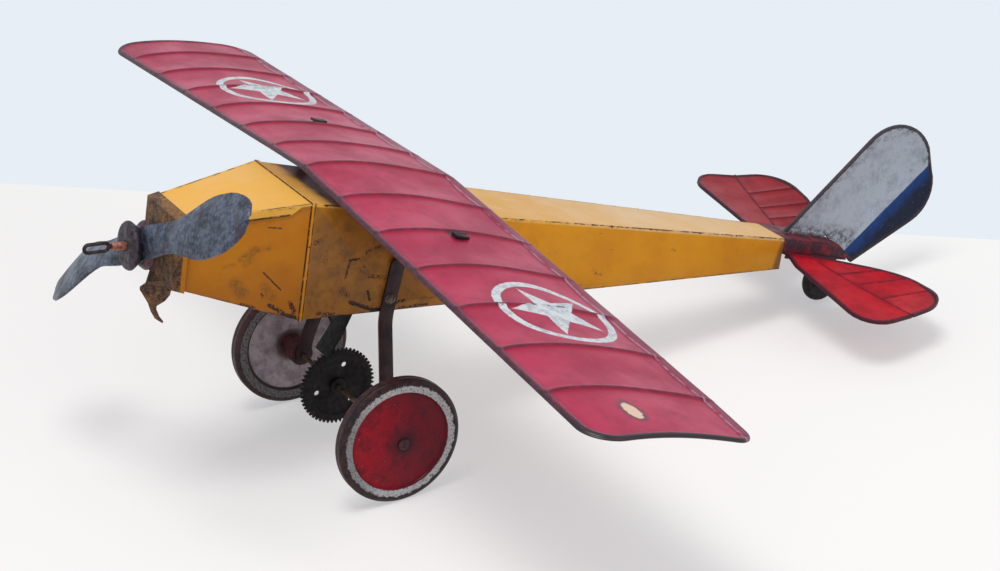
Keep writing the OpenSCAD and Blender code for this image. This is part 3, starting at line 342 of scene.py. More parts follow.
def enamel(name, clean, dull, darkened, top, wear_share=1.0):
    """Old gloss enamel on a folded fuselage sheet, with its top face painted paler as painted
    light from above.
    """
    p = Paint(name, roughness=0.36, specular=0.2)
    from_edge, a, u = p.from_edges()
    wear = p.noise(26, 5, 0.6)
    p.tone = p.mix(p.step(wear, 0.35, 0.7), clean, dull)
    cloud = p.noise(8, 6, 0.7)
    p.lay(p.step(cloud, 0.54, 0.8, 0.0, 0.4 * wear_share), darkened)
    # Painted light: the top face is laid in the paler top colour
    on_top = p.fall(p.abs(p.below_top(a, u)), 1.0, 2.2)
    p.lay(on_top, top, 0.8)
    return p, a, u, from_edge, on_top


def enamel_wear(p, from_edge, near_cover, dark_marks):
    """Adds grime and chips along the folds, fine scratches and the dark marks."""
    near = p.fall(from_edge, 0.25, 2.4)
    dashes = p.noise(2.6, 4, 0.6, p.stretched((1, 0.3, 1)))
    fold_line = p.mul(p.fall(from_edge, 0.35, 0.75), p.step(dashes, 0.44, 0.54))
    p.lay(p.mul(near, p.spots((6, 4), 0.4, 0.7, 0.0, 0.5)), GRIME)
    fine = p.noise(2.4, 3, 0.6, p.stretched((1, 0.16, 1), (0.5, 0, 0)))
    scratch = p.mul(p.step(fine, 0.68, 0.72), p.spots((28, 2), 0.5, 0.62, 0.0, 0.7))
    chip = p.most(p.chips(near, 1.3, 0.6, near_cover), p.mul(fold_line, 0.9))
    chip = p.most(p.most(chip, scratch), dark_marks)
    p.lay(chip, p.mix(p.noise(2, 3), BARE, (66, 46, 38)))
    relief = p.sub(p.mul(p.noise(14, 4), 0.45), chip)
    rough = p.add(p.spots((20, 4), 0.3, 0.7, 0.3, 0.48), p.mul(chip, 0.25))
    return p.finish(rough, relief, 0.35, 0.16)


def port_only(p):
    """1 on the port side of the middle plane and 0 on the starboard side."""
    return p.step(p.along(PORT, SEAM), 4.0, 6.0)


def body_paint():
    """Golden enamel, dirty and with painted shade on the sides below the wing, with painted
    shadow and some soot on top where the wing crosses, and a painted sheen on top towards the
    tail.
    """
    p, a, u, from_edge, on_top = enamel("body_paint", *BODY_SIDE, BODY_TOP_LIT)
    # Dirt and painted shade of the wing on the stretch below it, cleaner towards the tail
    darkened = p.mul(p.step(a, 1.5, 4.0), p.fall(a, 70.0, 120.0))
    darkened = p.mul(p.mul(darkened, p.sub(1.0, on_top)), p.spots((15, 5, 0.65), 0.3, 0.62, 0.6, 0.95))
    p.lay(darkened, (142, 92, 30))
    p.lay(p.mul(darkened, p.spots((9, 7, 0.75), 0.44, 0.66, 0.0, 0.7)), (96, 66, 34))
    # Painted shadow of the wing, with some soot, on the top under the wing
    cloudy = p.add(a, p.fray(WING_SHADOW_FRAY_MM, 9, 5, 0.65))
    wing_shadow_and_soot = p.mul(p.step(cloudy, *WING_SHADOW_FROM_MM), p.fall(a, *WING_SHADOW_TO_MM))
    wing_shadow_and_soot = p.mul(wing_shadow_and_soot, p.step(p.along(PORT, SEAM), *WING_SHADOW_PORT_MM, 1.0, 0.45))
    p.lay(p.mul(wing_shadow_and_soot, on_top), (36, 30, 36), 0.95)
    # Thin broken dark lines on both sides of the seam's bead: painted shade in the creases beside
    # it, with chipped paint
    beside = p.abs(p.sub(p.abs(p.sub(a, BEAD_W_MM / 2)), BEAD_W_MM / 2))
    broken = p.spots((4, 4, 0.6), 0.36, 0.5, 0.35, 1.0)
    p.lay(p.mul(p.fall(beside, 0.3, 0.75), broken), (52, 36, 28))
    # A dark smudge at the lower end, beside the tail channel
    ends = (BODY_L_MM - 3, TAIL_LOW_MM + 2, BODY_L_MM, -TAIL_FALL_MM - 4)
    p.lay(p.stroke(a, u, ends, 3.0), (62, 36, 34), 0.7)
    # Painted sheen: the top is painted paler towards the tail
    painted_top_sheen = p.mul(p.step(a, 120.0, 260.0, 0.0, 0.5), p.step(a, 300.0, 370.0, 1.0, 0.3))
    p.lay(p.mul(painted_top_sheen, on_top), (214, 186, 146))
    marks = p.mul(p.crumbled(p.strokes(a, u, BODY_MARKS)), port_only(p))
    return enamel_wear(p, from_edge, 0.19, marks)


def cowl_paint(name, colours):
    """Yellow enamel, smudged and scratched on the port side."""
    p, a, u, from_edge, _ = enamel(name, *colours, COWL_TOP_LIT[0], 0.5)
    # Darker towards the belly
    p.lay(p.step(u, -34.0, -62.0, 0.0, 0.45), (150, 88, 6))
    # A dark broken line under the top panel's side flaps: painted shade under their edges, with
    # chipped paint
    under = p.abs(p.sub(p.below_top(a, u), FLAP_D_MM))
    line = p.mul(p.fall(under, 0.3, 1.0), p.step(a, -FLAP_END_MM, -FLAP_END_MM - 1.5))
    p.lay(p.mul(line, p.spots((3, 5, 0.7), 0.36, 0.5, 0.2, 1.0)), BARE)
    # Soft smudges are grime on the paint, the sharper marks are bare metal
    port = port_only(p)
    soft = p.strokes(a, u, [m for m in COWL_MARKS if m[-1] < BARE_FROM])
    grain = p.spots((2.0, 6, 0.75), 0.36, 0.62, 0.2, 1.0)
    p.lay(p.mul(p.mul(soft, grain), port), SMUDGE)
    sharp = p.strokes(a, u, [m for m in COWL_MARKS if m[-1] >= BARE_FROM])
    return enamel_wear(p, from_edge, 0.1, p.mul(p.crumbled(sharp), port))


# Where the bare part of the nose plate's side lips ends, along the body
LIP_BARE_MM = -COWL_L_MM + 3.8


def rusty_steel():
    """Rust of the nose plate's cap, its darker hook and the yellow on its side lips."""
    p = Paint("rusty_steel", roughness=0.62, metallic=0.25)
    a, u = p.side_place()
    coarse = p.noise(10, 5, 0.65)
    fine = p.noise(1.8, 6, 0.7)
    p.tone = p.mix(p.step(coarse, 0.36, 0.62), (66, 46, 40), (126, 90, 52))
    p.lay(p.step(fine, 0.5, 0.68), (38, 27, 27))
    p.lay(p.spots((5, 4), 0.58, 0.68), (164, 112, 58), 0.7)
    # The tab and its hook are darker than the cap
    hook = p.step(u, NOSE_LOW_MM + 4, NOSE_LOW_MM - 3)
    dark = p.mix(p.step(fine, 0.4, 0.62), (104, 76, 62), (54, 42, 44))
    p.lay(p.mul(hook, p.step(coarse, 0.3, 0.66, 1.0, 0.35)), dark)
    # Yellow enamel still covers the rear of the side lips
    ragged = p.add(a, p.fray(0.6, 4, 4, 0.6))
    on_side = p.step(p.below_top(a, u), 2.0, 3.0)
    cover = p.mul(p.step(ragged, LIP_BARE_MM - 0.2, LIP_BARE_MM + 0.2), on_side)
    above_hook = p.step(u, NOSE_LOW_MM - 3.5, NOSE_LOW_MM - 2.5)
    p.lay(p.mul(cover, above_hook), COWL_SIDE[0])
    return p.finish(p.step(fine, 0.3, 0.7, 0.5, 0.8), fine, 0.5, 0.25)


def bare(name, light, dark, roughness, metallic):
    """Bare or blackened metal with tarnish in soft spots."""
    p = Paint(name, roughness=roughness, metallic=metallic)
    cloud = p.noise(3.0, 5, 0.62)
    p.tone = p.mix(p.step(cloud, 0.38, 0.66), light, dark)
    fine = p.noise(0.9, 4, 0.6)
    p.lay(p.step(fine, 0.58, 0.7, 0.0, 0.5), dark)
    rough = p.step(cloud, 0.3, 0.7, roughness - 0.07, roughness + 0.12)
    return p.finish(rough, fine, 0.3, 0.12)


def zinc():
    """Tarnished plate with fern-like grey-blue spots, dark pits and brown worn blotches."""
    p = Paint("zinc", roughness=0.46, metallic=0.35)
    cloud = p.noise(12, 5, 0.65)
    p.tone = p.mix(p.step(cloud, 0.36, 0.62), (80, 87, 106), (42, 46, 57))
    p.lay(p.fall(p.cells(2.2), 0.2, 0.75, 0.3), (124, 134, 156))
    p.lay(p.spots((3.4, 6, 0.75), 0.48, 0.62, 0.0, 0.8), (40, 42, 52))
    pits = p.spots((1.2, 5, 0.72), 0.58, 0.66)
    p.lay(p.mul(pits, p.spots((14, 3), 0.38, 0.56)), (28, 26, 34))
    p.lay(p.spots((16, 4), 0.54, 0.68, 0.0, 0.65), (62, 50, 54))
    rough = p.step(cloud, 0.3, 0.7, 0.36, 0.55)
    return p.finish(rough, p.noise(1.6, 5, 0.65), 0.35, 0.14)


def strut_paint():
    """Worn dark maroon enamel of the struts."""
    p = Paint("strut_paint", roughness=0.5)
    wear = p.noise(7, 5, 0.65)
    p.tone = p.mix(p.step(wear, 0.4, 0.66), (49, 25, 28), (29, 19, 22))
    p.lay(p.spots((1.6, 5, 0.7), 0.62, 0.68), (92, 62, 50))
    return p.finish(p.step(wear, 0.3, 0.7, 0.4, 0.62), wear, 0.3, 0.2)


# Radii of a front wheel's painted bands
HUB_STAIN_MM, GROOVE_R_MM, RED_R_MM, RING_R_MM, RIM_R_MM = 6.5, 27.0, 28.8, 29.1, 33.8


def wheel_paint():
    """Red disc with a dark hub and painted light and shade across it, a pale speckled ring and a
    dark brown tread.
    """
    p = Paint("wheel_paint", roughness=0.38, specular=0.2)
    r = p.radius((AXLE_Y_MM, AXLE_Z_MM))
    # Painted light and shade: the red is painted brighter towards the front of the wheel at rest
    # and darker towards the rear, as light falls on the domed disc
    ahead = p.along(AHEAD, Vector((0, AXLE_Y_MM, 0)) * MM)
    lit_front = p.step(ahead, -18.0, 26.0)
    lit_front_and_mottle = p.add(p.mul(lit_front, 0.7), p.mul(p.noise(26, 3), 0.3))
    p.tone = p.mix(lit_front_and_mottle, (88, 2, 26), (150, 2, 26))
    p.lay(p.spots((6, 6, 0.75), 0.46, 0.66), (62, 4, 24), 0.7)
    p.lay(p.spots((1.4, 5, 0.7), 0.64, 0.68), (44, 16, 20), 0.85)
    p.lay(p.mul(p.spots((1.1, 4, 0.7), 0.68, 0.7), lit_front), (206, 150, 150), 0.8)
    hub_r = p.add(r, p.fray(7.0, 4, 5, 0.65))
    p.lay(p.fall(hub_r, HUB_STAIN_MM - 5.0, HUB_STAIN_MM + 7.0, 0.92), (38, 16, 26))
    pale = p.mix(p.spots((1.1, 5, 0.75), 0.52, 0.6), (176, 178, 180), (84, 76, 80))
    pale = p.mix(p.mul(p.step(ahead, 10.0, 30.0), 0.55), pale, (70, 64, 66))
    ring_r = p.add(r, p.fray(1.2, 2.4, 5, 0.7))
    p.lay(p.step(ring_r, RED_R_MM - 0.4, RED_R_MM + 0.1, 0.0, 0.8), (50, 26, 32))
    p.lay(p.step(ring_r, RING_R_MM - 0.2, RING_R_MM + 0.3), pale)
    ragged_r = p.add(r, p.fray(6.0, 2.6, 6, 0.8))
    black = p.mix(p.noise(2, 4), (34, 26, 28), (58, 40, 42))
    p.lay(p.step(ragged_r, RIM_R_MM - 1.2, RIM_R_MM - 0.8), black)
    tread = p.mix(p.spots((3, 5, 0.65), 0.4, 0.62), (58, 37, 39), (32, 24, 28))
    p.lay(p.step(ring_r, RIM_R_MM, RIM_R_MM + 0.6), tread)
    relief = p.noise(1.8, 5, 0.65)
    return p.finish(p.spots((8, 4), 0.3, 0.7, 0.34, 0.52), relief, 0.32, 0.16)


def wheel_grey():
    """Inner side of a wheel: mottled grey disc, a groove dark with painted shade, pale ring and
    brown rim.
    """
    p = Paint("wheel_grey", roughness=0.5)
    r = p.radius((AXLE_Y_MM, AXLE_Z_MM))
    p.tone = p.mix(p.spots((8, 5, 0.6), 0.36, 0.62), (172, 162, 170), (136, 127, 134))
    p.lay(p.spots((1.6, 5, 0.7), 0.56, 0.68, 0.0, 0.7), (48, 38, 42))
    p.lay(p.fall(r, 8.0, 12.0), (66, 36, 38), 0.8)
    # Painted shade: a dark band in the groove between the disc and the ring
    p.lay(p.step(r, GROOVE_R_MM, GROOVE_R_MM + 0.8), (38, 28, 32))
    pale = p.mix(p.spots((1.2, 5, 0.75), 0.46, 0.6), (112, 110, 112), (54, 44, 50))
    p.lay(p.step(r, RING_R_MM - 0.4, RING_R_MM + 0.3), pale)
    ring_r = p.add(r, p.fray(2.0, 2.4, 5, 0.7))
    tread = p.mix(p.spots((3, 5, 0.65), 0.4, 0.62), (64, 36, 40), (34, 24, 28))
    p.lay(p.step(ring_r, RIM_R_MM - 0.6, RIM_R_MM), tread)
    return p.finish(p.spots((5, 4), 0.3, 0.7, 0.42, 0.62), p.noise(2, 5), 0.3, 0.15)


def hub_paint():
    """Hub boss: dark red-brown with grease and rust."""
    p = Paint("hub_paint", roughness=0.5)
    wear = p.noise(4, 5, 0.65)
    p.tone = p.mix(p.step(wear, 0.4, 0.62), (76, 30, 34), (38, 24, 27))
    return p.finish(p.step(wear, 0.3, 0.7, 0.4, 0.65), wear, 0.3, 0.2)


def dark_red():
    """Maroon enamel with near-black patches, on the tail's channel and fork."""
    p = Paint("tail_fittings", roughness=0.46)
    wear = p.noise(6, 5, 0.65)
    p.tone = p.mix(p.step(wear, 0.4, 0.58), (112, 20, 38), (50, 24, 34))
    p.lay(p.spots((1.6, 5, 0.7), 0.62, 0.67), (30, 24, 28))
    return p.finish(p.step(wear, 0.3, 0.7, 0.38, 0.58), wear, 0.3, 0.18)


# The tail sheets in the airframe's frame, as in the part's source
CHANNEL_L_MM = 58.0
FALL = math.atan(TAIL_FALL_MM / BODY_L_MM)
PLANE_HALF_MM, PLANE_LE_MM, PLANE_TE_MM = 102.5, 3.6, 73.5
PLANE_LE_R_MM, PLANE_TE_R_MM, PLANE_RAKE_MM = 18.3, 24.7, 4.4
PLANE_HINGE_MM = ((17.3, 24.0), (97.4, 40.1))
PLANE_LINES = (0.38, 0.53, 0.727)
BOW_ROOT, BOW_PULL, BOW_END = 0.332, (0.342, 1.042), math.radians(99)
FIN_TOP, FIN_TOP_R_MM = Vector((BODY_L_MM + 88.0, -TAIL_FALL_MM + 37.5)), 31.0
FIN_REAR, FIN_REAR_R_MM = FIN_TOP + Vector((10.5, -12.5)), 25.5
FIN_FRONT = Vector((BODY_L_MM + 9.5, -TAIL_FALL_MM - 0.5))
FIN_LOW = Vector((BODY_L_MM + CHANNEL_L_MM + 10.0, TAIL_LOW_MM - 3.4))
# The front line of the fin's blue band: its low end, where it meets u = 0, and its turn
BAND_A_MM, BAND_U_MM, BAND_TOP_MM = 403.4, -54.7, 457.8
BAND_TURN = math.atan2(BAND_TOP_MM - BAND_A_MM, -BAND_U_MM)
# Depth that stands for a surface outside a corner's reach
FAR_MM = 99.0


def heading(angle):
    """Unit vector at an angle."""
    return Vector((math.cos(angle), math.sin(angle)))


def tangent_normal(point, centre, radius, side):
    """Outward normal of the edge that runs from a point to touch a round corner."""
    d = centre - point
    return heading(math.atan2(d.y, d.x) + side * (math.pi / 2 + math.asin(radius / d.length)))


def where(p, mask, depth):
    """Depth where mask is 1, and a large depth elsewhere."""
    return p.add(p.mul(mask, depth), p.mul(p.sub(1.0, mask), FAR_MM))


def plane_edge(p, x, y):
    """Depth of the tailplane's surface inside its outline, in millimetres."""
    le = Vector((PLANE_HALF_MM - PLANE_LE_R_MM, PLANE_LE_MM + PLANE_LE_R_MM))
    te = Vector((PLANE_HALF_MM - PLANE_RAKE_MM - PLANE_TE_R_MM, PLANE_TE_MM - PLANE_TE_R_MM))
    v = te - le
    lean = math.atan2(v.y, v.x) - math.acos((PLANE_LE_R_MM - PLANE_TE_R_MM) / v.length)
    depth = p.sub(y, PLANE_LE_MM)
    depth = p.least(depth, p.inside(x, y, le + PLANE_LE_R_MM * heading(lean), heading(lean)))
    # The rear edge is one bow, a curve of three points whose t follows from x
    root_end = Vector((TAIL_W_MM / 2, BOW_ROOT * PLANE_TE_MM))
    pull = Vector((BOW_PULL[0] * PLANE_HALF_MM, BOW_PULL[1] * PLANE_TE_MM))
    first = pull - root_end
    second = root_end - 2 * pull + te + PLANE_TE_R_MM * heading(BOW_END)
    inner = p.add(p.mul(x, second.x), first.x**2 - second.x * root_end.x)
    root = p.math("SQRT", p.most(inner, 0.0))
    t = p.mul(p.sub(root, first.x), 1 / second.x)
    bow = p.add(p.mul(p.add(p.mul(t, second.y), 2 * first.y), t), root_end.y)
    steep = p.math("DIVIDE", p.add(p.mul(t, second.y), first.y), root)
    depth = p.least(depth, p.math("DIVIDE", p.sub(bow, y), p.length(steep, 1.0)))
    for centre, radius, bisector in (
        (le, PLANE_LE_R_MM, heading((lean - math.pi / 2) / 2)),
        (te, PLANE_TE_R_MM, heading((lean + BOW_END) / 2)),
    ):
        beyond = p.step(p.inside(x, y, centre, -bisector), radius * 0.58, radius * 0.62)
        depth = p.least(depth, where(p, beyond, p.in_corner(x, y, centre, radius)))
    return depth


def tail_paint():
    """Red enamel with painted shade at the root and, with some grime, in the pressed lines, and
    dark along the hems.
    """
    p = Paint("tail_paint", roughness=0.4, specular=0.16)
    across = p.along(PORT, SEAM)
    x, (a, u) = p.abs(across), p.side_place()
    aft, up = p.sub(a, BODY_L_MM), p.add(u, TAIL_FALL_MM)
    y = p.sub(p.mul(aft, math.cos(FALL)), p.mul(up, math.sin(FALL)))
    wear = p.noise(18, 5, 0.6)
    p.tone = p.mix(p.step(wear, 0.36, 0.66), (180, 16, 30), (150, 8, 28))
    p.lay(p.spots((5, 6, 0.75), 0.5, 0.72, 0.0, 0.6), (100, 8, 26))
    # The starboard half is darker
    p.lay(p.fall(across, -20.0, 0.0, 0.6), (112, 6, 22))
    fray = p.fray(2.6, 3.4, 5, 0.7)
    depth = plane_edge(p, x, y)
    hem = p.fall(p.add(depth, fray), 1.9, 2.9, 0.92)
    # Painted shade: darker at the root, beside the channel
    p.lay(p.fall(p.add(x, p.mul(fray, 3.0)), 15.0, 24.0, 0.7), (66, 16, 30))
    # Painted shade with some grime in the pressed lines: the elevator's front edge and three
    # lines across it
    (hx, hy), (tx, ty) = PLANE_HINGE_MM
    along = Vector((tx - hx, ty - hy)).normalized()
    hinge = p.abs(p.inside(x, y, (hx, hy), (-along.y, along.x)))
    line = p.fall(hinge, 0.5, 1.9, 0.7)
    behind = p.step(p.inside(x, y, (hx, hy), (along.y, -along.x)), -0.5, 0.5)
    for share in PLANE_LINES:
        aside = p.abs(p.sub(x, share * PLANE_HALF_MM))
        line = p.most(line, p.mul(p.fall(aside, 0.5, 1.8, 0.75), behind))
    p.lay(p.mul(line, p.spots((6, 4, 0.6), 0.34, 0.56, 0.35, 1.0)), (74, 10, 28))
    p.lay(hem, (50, 24, 36))
    chip = p.chips(p.fall(depth, 2.0, 12.0), 1.2, 0.6, 0.1)
    p.lay(chip, (44, 24, 32))
    return p.finish(p.step(wear, 0.3, 0.7, 0.3, 0.48), p.sub(wear, chip), 0.3, 0.15)


def fin_edge(p, a, u):
    """Depth of the fin's surface inside its outline, in millimetres."""
    front = tangent_normal(FIN_FRONT, FIN_TOP, FIN_TOP_R_MM, 1)
    low = tangent_normal(FIN_LOW, FIN_REAR, FIN_REAR_R_MM, -1)
    depth = p.least(p.inside(a, u, FIN_FRONT, front), p.inside(a, u, FIN_LOW, low))
    # The round end lies beyond the line between the points where the straight edges stop
    start, stop = FIN_TOP + FIN_TOP_R_MM * front, FIN_REAR + FIN_REAR_R_MM * low
    across = (stop - start).normalized()
    beyond = p.step(p.inside(a, u, start, (across.y, -across.x)), -0.2, 0.2)
    round_end = p.most(
        p.in_corner(a, u, FIN_TOP, FIN_TOP_R_MM), p.in_corner(a, u, FIN_REAR, FIN_REAR_R_MM)
    )
    return p.least(depth, where(p, beyond, round_end))


def fin_paint():
    """Off-white enamel with a blue band at the rear and a dark worn edge."""
    p = Paint("fin_paint", roughness=0.44, specular=0.22)
    a, u = p.side_place()
    wear = p.noise(9, 5, 0.65)
    p.tone = p.mix(p.step(wear, 0.42, 0.74), (158, 166, 178), (132, 139, 151))
    speck = p.spots((1.5, 5, 0.72), 0.62, 0.68)
    edge = fin_edge(p, a, u)
    soil = p.mul(p.fall(edge, 2.0, 11.0), p.spots((4, 5, 0.7), 0.45, 0.62))
    foot = p.stroke(a, u, (FIN_FRONT.x + 8, FIN_FRONT.y - 1, FIN_LOW.x - 6, FIN_FRONT.y - 6), 7.0)
    soil = p.most(p.mul(soil, 0.6), p.mul(foot, p.spots((3, 5, 0.7), 0.42, 0.58, 0.2, 0.9)))
    p.lay(soil, (84, 76, 84))
    p.lay(speck, (70, 60, 64), 0.8)
    da, du = p.sub(a, BAND_A_MM), p.sub(u, BAND_U_MM)
    behind = p.sub(p.mul(da, math.cos(BAND_TURN)), p.mul(du, math.sin(BAND_TURN)))
    behind = p.add(behind, p.fray(0.8, 4, 4))
    deep = p.step(p.add(behind, p.mul(p.sub(wear, 0.5), 14.0)), 1.0, 12.0)
    blue = p.mix(deep, (2, 48, 108), (4, 16, 42))
    blue = p.mix(p.mul(speck, 0.5), blue, (110, 118, 132))
    p.lay(p.step(behind, 0.0, 0.8), blue)
    ragged = p.add(edge, p.fray(3.0, 3, 5, 0.75))
    p.lay(p.fall(ragged, 1.9, 2.6, 0.93), (48, 38, 44))
    return p.finish(p.step(wear, 0.3, 0.7, 0.38, 0.54), p.sub(wear, speck), 0.3, 0.15)


def star_distance(p, dx, dc):
    """Signed distance in millimetres into a five-pointed star with one point ahead."""
    point = math.pi / 5
    inner = STAR_INNER * STAR_R_MM
    r = p.length(dx, dc)
    angle = p.math("ARCTAN2", dx, p.mul(dc, -1.0))
    fold = p.abs(p.math("WRAP", angle, point, -point))
    across = p.mul(r, p.math("SINE", fold))
    out = p.mul(r, p.math("COSINE", fold))
    ex, ey = inner * math.cos(point) - STAR_R_MM, inner * math.sin(point)
    edge = math.hypot(ex, ey)
    inside = p.add(p.mul(across, ex / edge), p.mul(out, -ey / edge))
    return p.add(inside, ey * STAR_R_MM / edge), r


# Bare patch near the port tip: span, chord and its two radii
PATCH_MM = (272.8, 35.5, 7.0, 4.2)
# Grease round the strut tabs: span, chord and radius
TABS_MM = ((88.5, 46.0, 5.0), (-88.5, 46.0, 5.0))


def spot(p, x, c, centre, radii, fray):
    """Frayed distance from a spot's centre, 1 at its rim."""
    px = p.mul(p.sub(x, centre[0]), 1 / radii[0])
    pc = p.mul(p.sub(c, centre[1]), 1 / radii[1])
    return p.add(p.length(px, pc), p.fray(fray, 5, 4, 0.6))


def wing_paint():
    """Crimson enamel with grey-white roundels, worn dark at the hems and, with painted shade,
    over the ribs.
    """
    p = Paint("wing_paint", roughness=0.36, coat=0.05)
    x, c, edge, upper = (p.attribute(name) for name in ("span", "chord", "edge", "upper"))
    cloud = p.noise(34, 5, 0.6)
    p.tone = p.mix(p.step(cloud, 0.36, 0.66), (168, 20, 68), (146, 12, 56))
    p.lay(p.spots((7, 6, 0.7), 0.5, 0.74, 0.0, 0.5), (104, 10, 42))
    # Ribs: a thin dark line on the crest, painted shade with some wear, and a band of deeper red
    # beside it, painted shade on the rib's shaded side
    aside = p.math("WRAP", x, RIB_PITCH_MM / 2, -RIB_PITCH_MM / 2)
    rib = p.abs(p.add(aside, p.fray(0.8, 9, 3)))
    on_span = p.fall(p.abs(x), LAST_RIB_MM + 8.0, LAST_RIB_MM + 12.0)
    rib_shade_side = p.mul(p.fall(p.abs(p.sub(aside, 3.2)), 1.2, 5.0, 0.45), on_span)
    p.lay(rib_shade_side, (142, 10, 44))
    crease_shade_and_wear = p.mul(p.fall(rib, 0.8, 2.5), on_span)
    p.lay(p.mul(crease_shade_and_wear, p.spots((5, 4), 0.3, 0.62, 0.6, 1.0)), (92, 6, 36))
    # Roundels
    dx = p.sub(p.abs(p.sub(x, ROUNDEL_SHIFT_MM)), ROUNDEL_X_MM)
    dc = p.sub(c, ROUNDEL_C_MM)
    ragged = p.fray(1.1, 1.6, 4, 0.6)
    inside, r = star_distance(p, dx, dc)
    star = p.step(p.add(inside, ragged), -0.3, 0.3)
    half, middle = (RING_OUT_MM - RING_IN_MM) / 2, (RING_OUT_MM + RING_IN_MM) / 2
    in_ring = p.sub(half, p.abs(p.sub(p.add(r, ragged), middle)))
    mark = p.mul(p.most(star, p.step(in_ring, -0.25, 0.25)), upper)
    pale = p.mix(p.spots((5, 5, 0.65), 0.42, 0.66), (192, 200, 204), (158, 162, 170))
    lost = p.spots((2.2, 5, 0.7), 0.61, 0.67)
    mark = p.mul(mark, p.sub(1.0, p.mul(lost, 0.8)))
    worn = p.mul(p.fall(rib, 0.3, 1.2), p.spots((4, 4), 0.35, 0.6))
    pale = p.mix(worn, pale, (84, 44, 58))
    p.lay(mark, pale)
    # Hems: grey and ragged along the leading edge, near black round the tips
    frayed = p.add(edge, p.fray(4.0, 5, 6, 0.75))
    # A darker band along the front of the sheet, by the leading edge
    darker_front_band = p.mul(p.fall(frayed, 2.0, 7.0, 0.5), p.fall(c, 20.0, 40.0))
    p.lay(darker_front_band, (76, 16, 42))
    hem = p.fall(frayed, 1.4, 2.6)
    lip = p.spots((2.6, 5, 0.7), 0.42, 0.58)
    p.lay(hem, p.mix(lip, (72, 38, 54), (42, 26, 36)), 0.92)
    tip = p.step(p.abs(x), LAST_RIB_MM + 18.0, LAST_RIB_MM + 30.0)
    p.lay(p.mul(p.fall(frayed, 2.6, 3.4), tip), (34, 22, 30), 0.9)
    # The rear fold: darker paint with a scratched pale line at its step
    fold_c = CHORD_MM - FOLD_W_MM
    p.lay(p.step(c, fold_c - 0.4, fold_c + 0.4), (108, 14, 54), 0.75)
    line = p.fall(p.abs(p.sub(c, fold_c + 0.3)), 0.35, 0.9)
    p.lay(p.mul(line, p.spots((8, 4), 0.36, 0.54)), (150, 112, 128), 0.85)
    # Painted shade: a dark line just ahead of the fold's step
    shade = p.abs(p.sub(c, fold_c - 1.2))
    p.lay(p.fall(shade, 0.3, 0.9, 0.7), (84, 14, 38))
    # Small chips, pale specks, grease at the strut tabs and the bare patch of the port tip
    chip = p.chips(p.fall(edge, 1.0, 9.0), 1.3, 0.585, 0.12)
    p.lay(chip, (48, 30, 38))
    speck = p.spots((0.9, 3, 0.6), 0.73, 0.75)
    p.lay(speck, (196, 150, 156), 0.8)
    for tab_x, tab_c, tab_r in TABS_MM:
        grease = spot(p, x, c, (tab_x, tab_c), (tab_r * 1.3, tab_r), 1.1)
        p.lay(p.mul(p.fall(grease, 0.7, 1.25, 0.75), upper), (58, 26, 36))
    patch = spot(p, x, c, PATCH_MM[:2], PATCH_MM[2:], 0.9)
    p.lay(p.mul(p.fall(patch, 1.05, 1.7, 0.85), upper), (84, 44, 58))
    p.lay(p.mul(p.fall(patch, 0.85, 1.05), upper), (206, 176, 156))
    relief = p.sub(p.mul(p.noise(12, 4), 0.6), p.add(chip, p.mul(lost, 0.2)))
    rough = p.add(p.step(cloud, 0.3, 0.7, 0.3, 0.46), p.mul(chip, 0.25))
    return p.finish(rough, relief, 0.35, 0.2)


def slope(degrees):
    """Tangent of an angle in degrees."""
    return np.tan(np.radians(degrees))


def wing_drop(x, t):
    """Rise of the sheet off a level line, with its kink over the fuselage and its lean."""
    soft = CREASE_R_MM - np.sqrt(x * x + CREASE_R_MM**2)
    return soft * slope(DROOP - WASH * t) - x * slope(WING_LEAN + WING_WARP * t)


def corner_in(x, end, r):
    """Chord line lost to a rounded corner of radius r."""
    d = np.maximum(0, np.abs(x) - (end - r))
    return r - np.sqrt(np.maximum(0, r * r - d * d))


def from_outline(x, c, end, le_r, te_r):
    """Distance of a point of the sheet from its outline."""
    side = end - np.abs(x)
    distance = np.minimum(np.minimum(c, CHORD_MM - c), side)
    for r, depth in ((le_r, c), (te_r, CHORD_MM - c)):
        in_corner = (side < r) & (depth < r)
        round_off = r - np.hypot(r - side, r - depth)
        distance = np.where(in_corner, np.minimum(distance, round_off), distance)
    return np.maximum(0, distance)


def smoothstep(v, low, high):
    """Smooth step of an array from 0 at low to 1 at high."""
    k = np.clip((v - low) / (high - low), 0, 1)
    return k * k * (3 - 2 * k)


def wing_stations():
    """Span stations, denser across the ribs and toward the tips."""
    half = []
    for k in range(RIB_COUNT + 1):
        half += [k * RIB_PITCH_MM + d for d in np.linspace(-RIB_W_MM, RIB_W_MM, 9)]
        half += [(k + f) * RIB_PITCH_MM for f in np.linspace(0.12, 0.88, 10)]
    half = [h for h in half if 0 < h <= LAST_RIB_MM + RIB_W_MM + 0.5]
    begin = LAST_RIB_MM + RIB_W_MM + 2

    def tip(end):
        return [begin + (end - begin) * math.sin(g) for g in np.radians(np.linspace(0, 90, 30))]

    star = [-v for v in reversed(half + tip(LAST_RIB_MM + TIP_STAR_MM))]
    return np.array(star + [0.0] + half + tip(LAST_RIB_MM + TIP_PORT_MM))


def wing_rows():
    """Shares of the chord, denser at the two hems."""
    hem, fold = HEM_W_MM / CHORD_MM, FOLD_W_MM / CHORD_MM
    front = hem * np.array([0, 0.08, 0.25, 0.5, 0.8, 1.0, 1.15, 1.5])
    rear = 1 - fold * np.array([1.25, 1.08, 1.0, 0.9, 0.6, 0.3, 0.12, 0.03, 0])
    return np.concatenate([front, np.linspace(hem * 2, 1 - fold * 1.5, 40), rear])


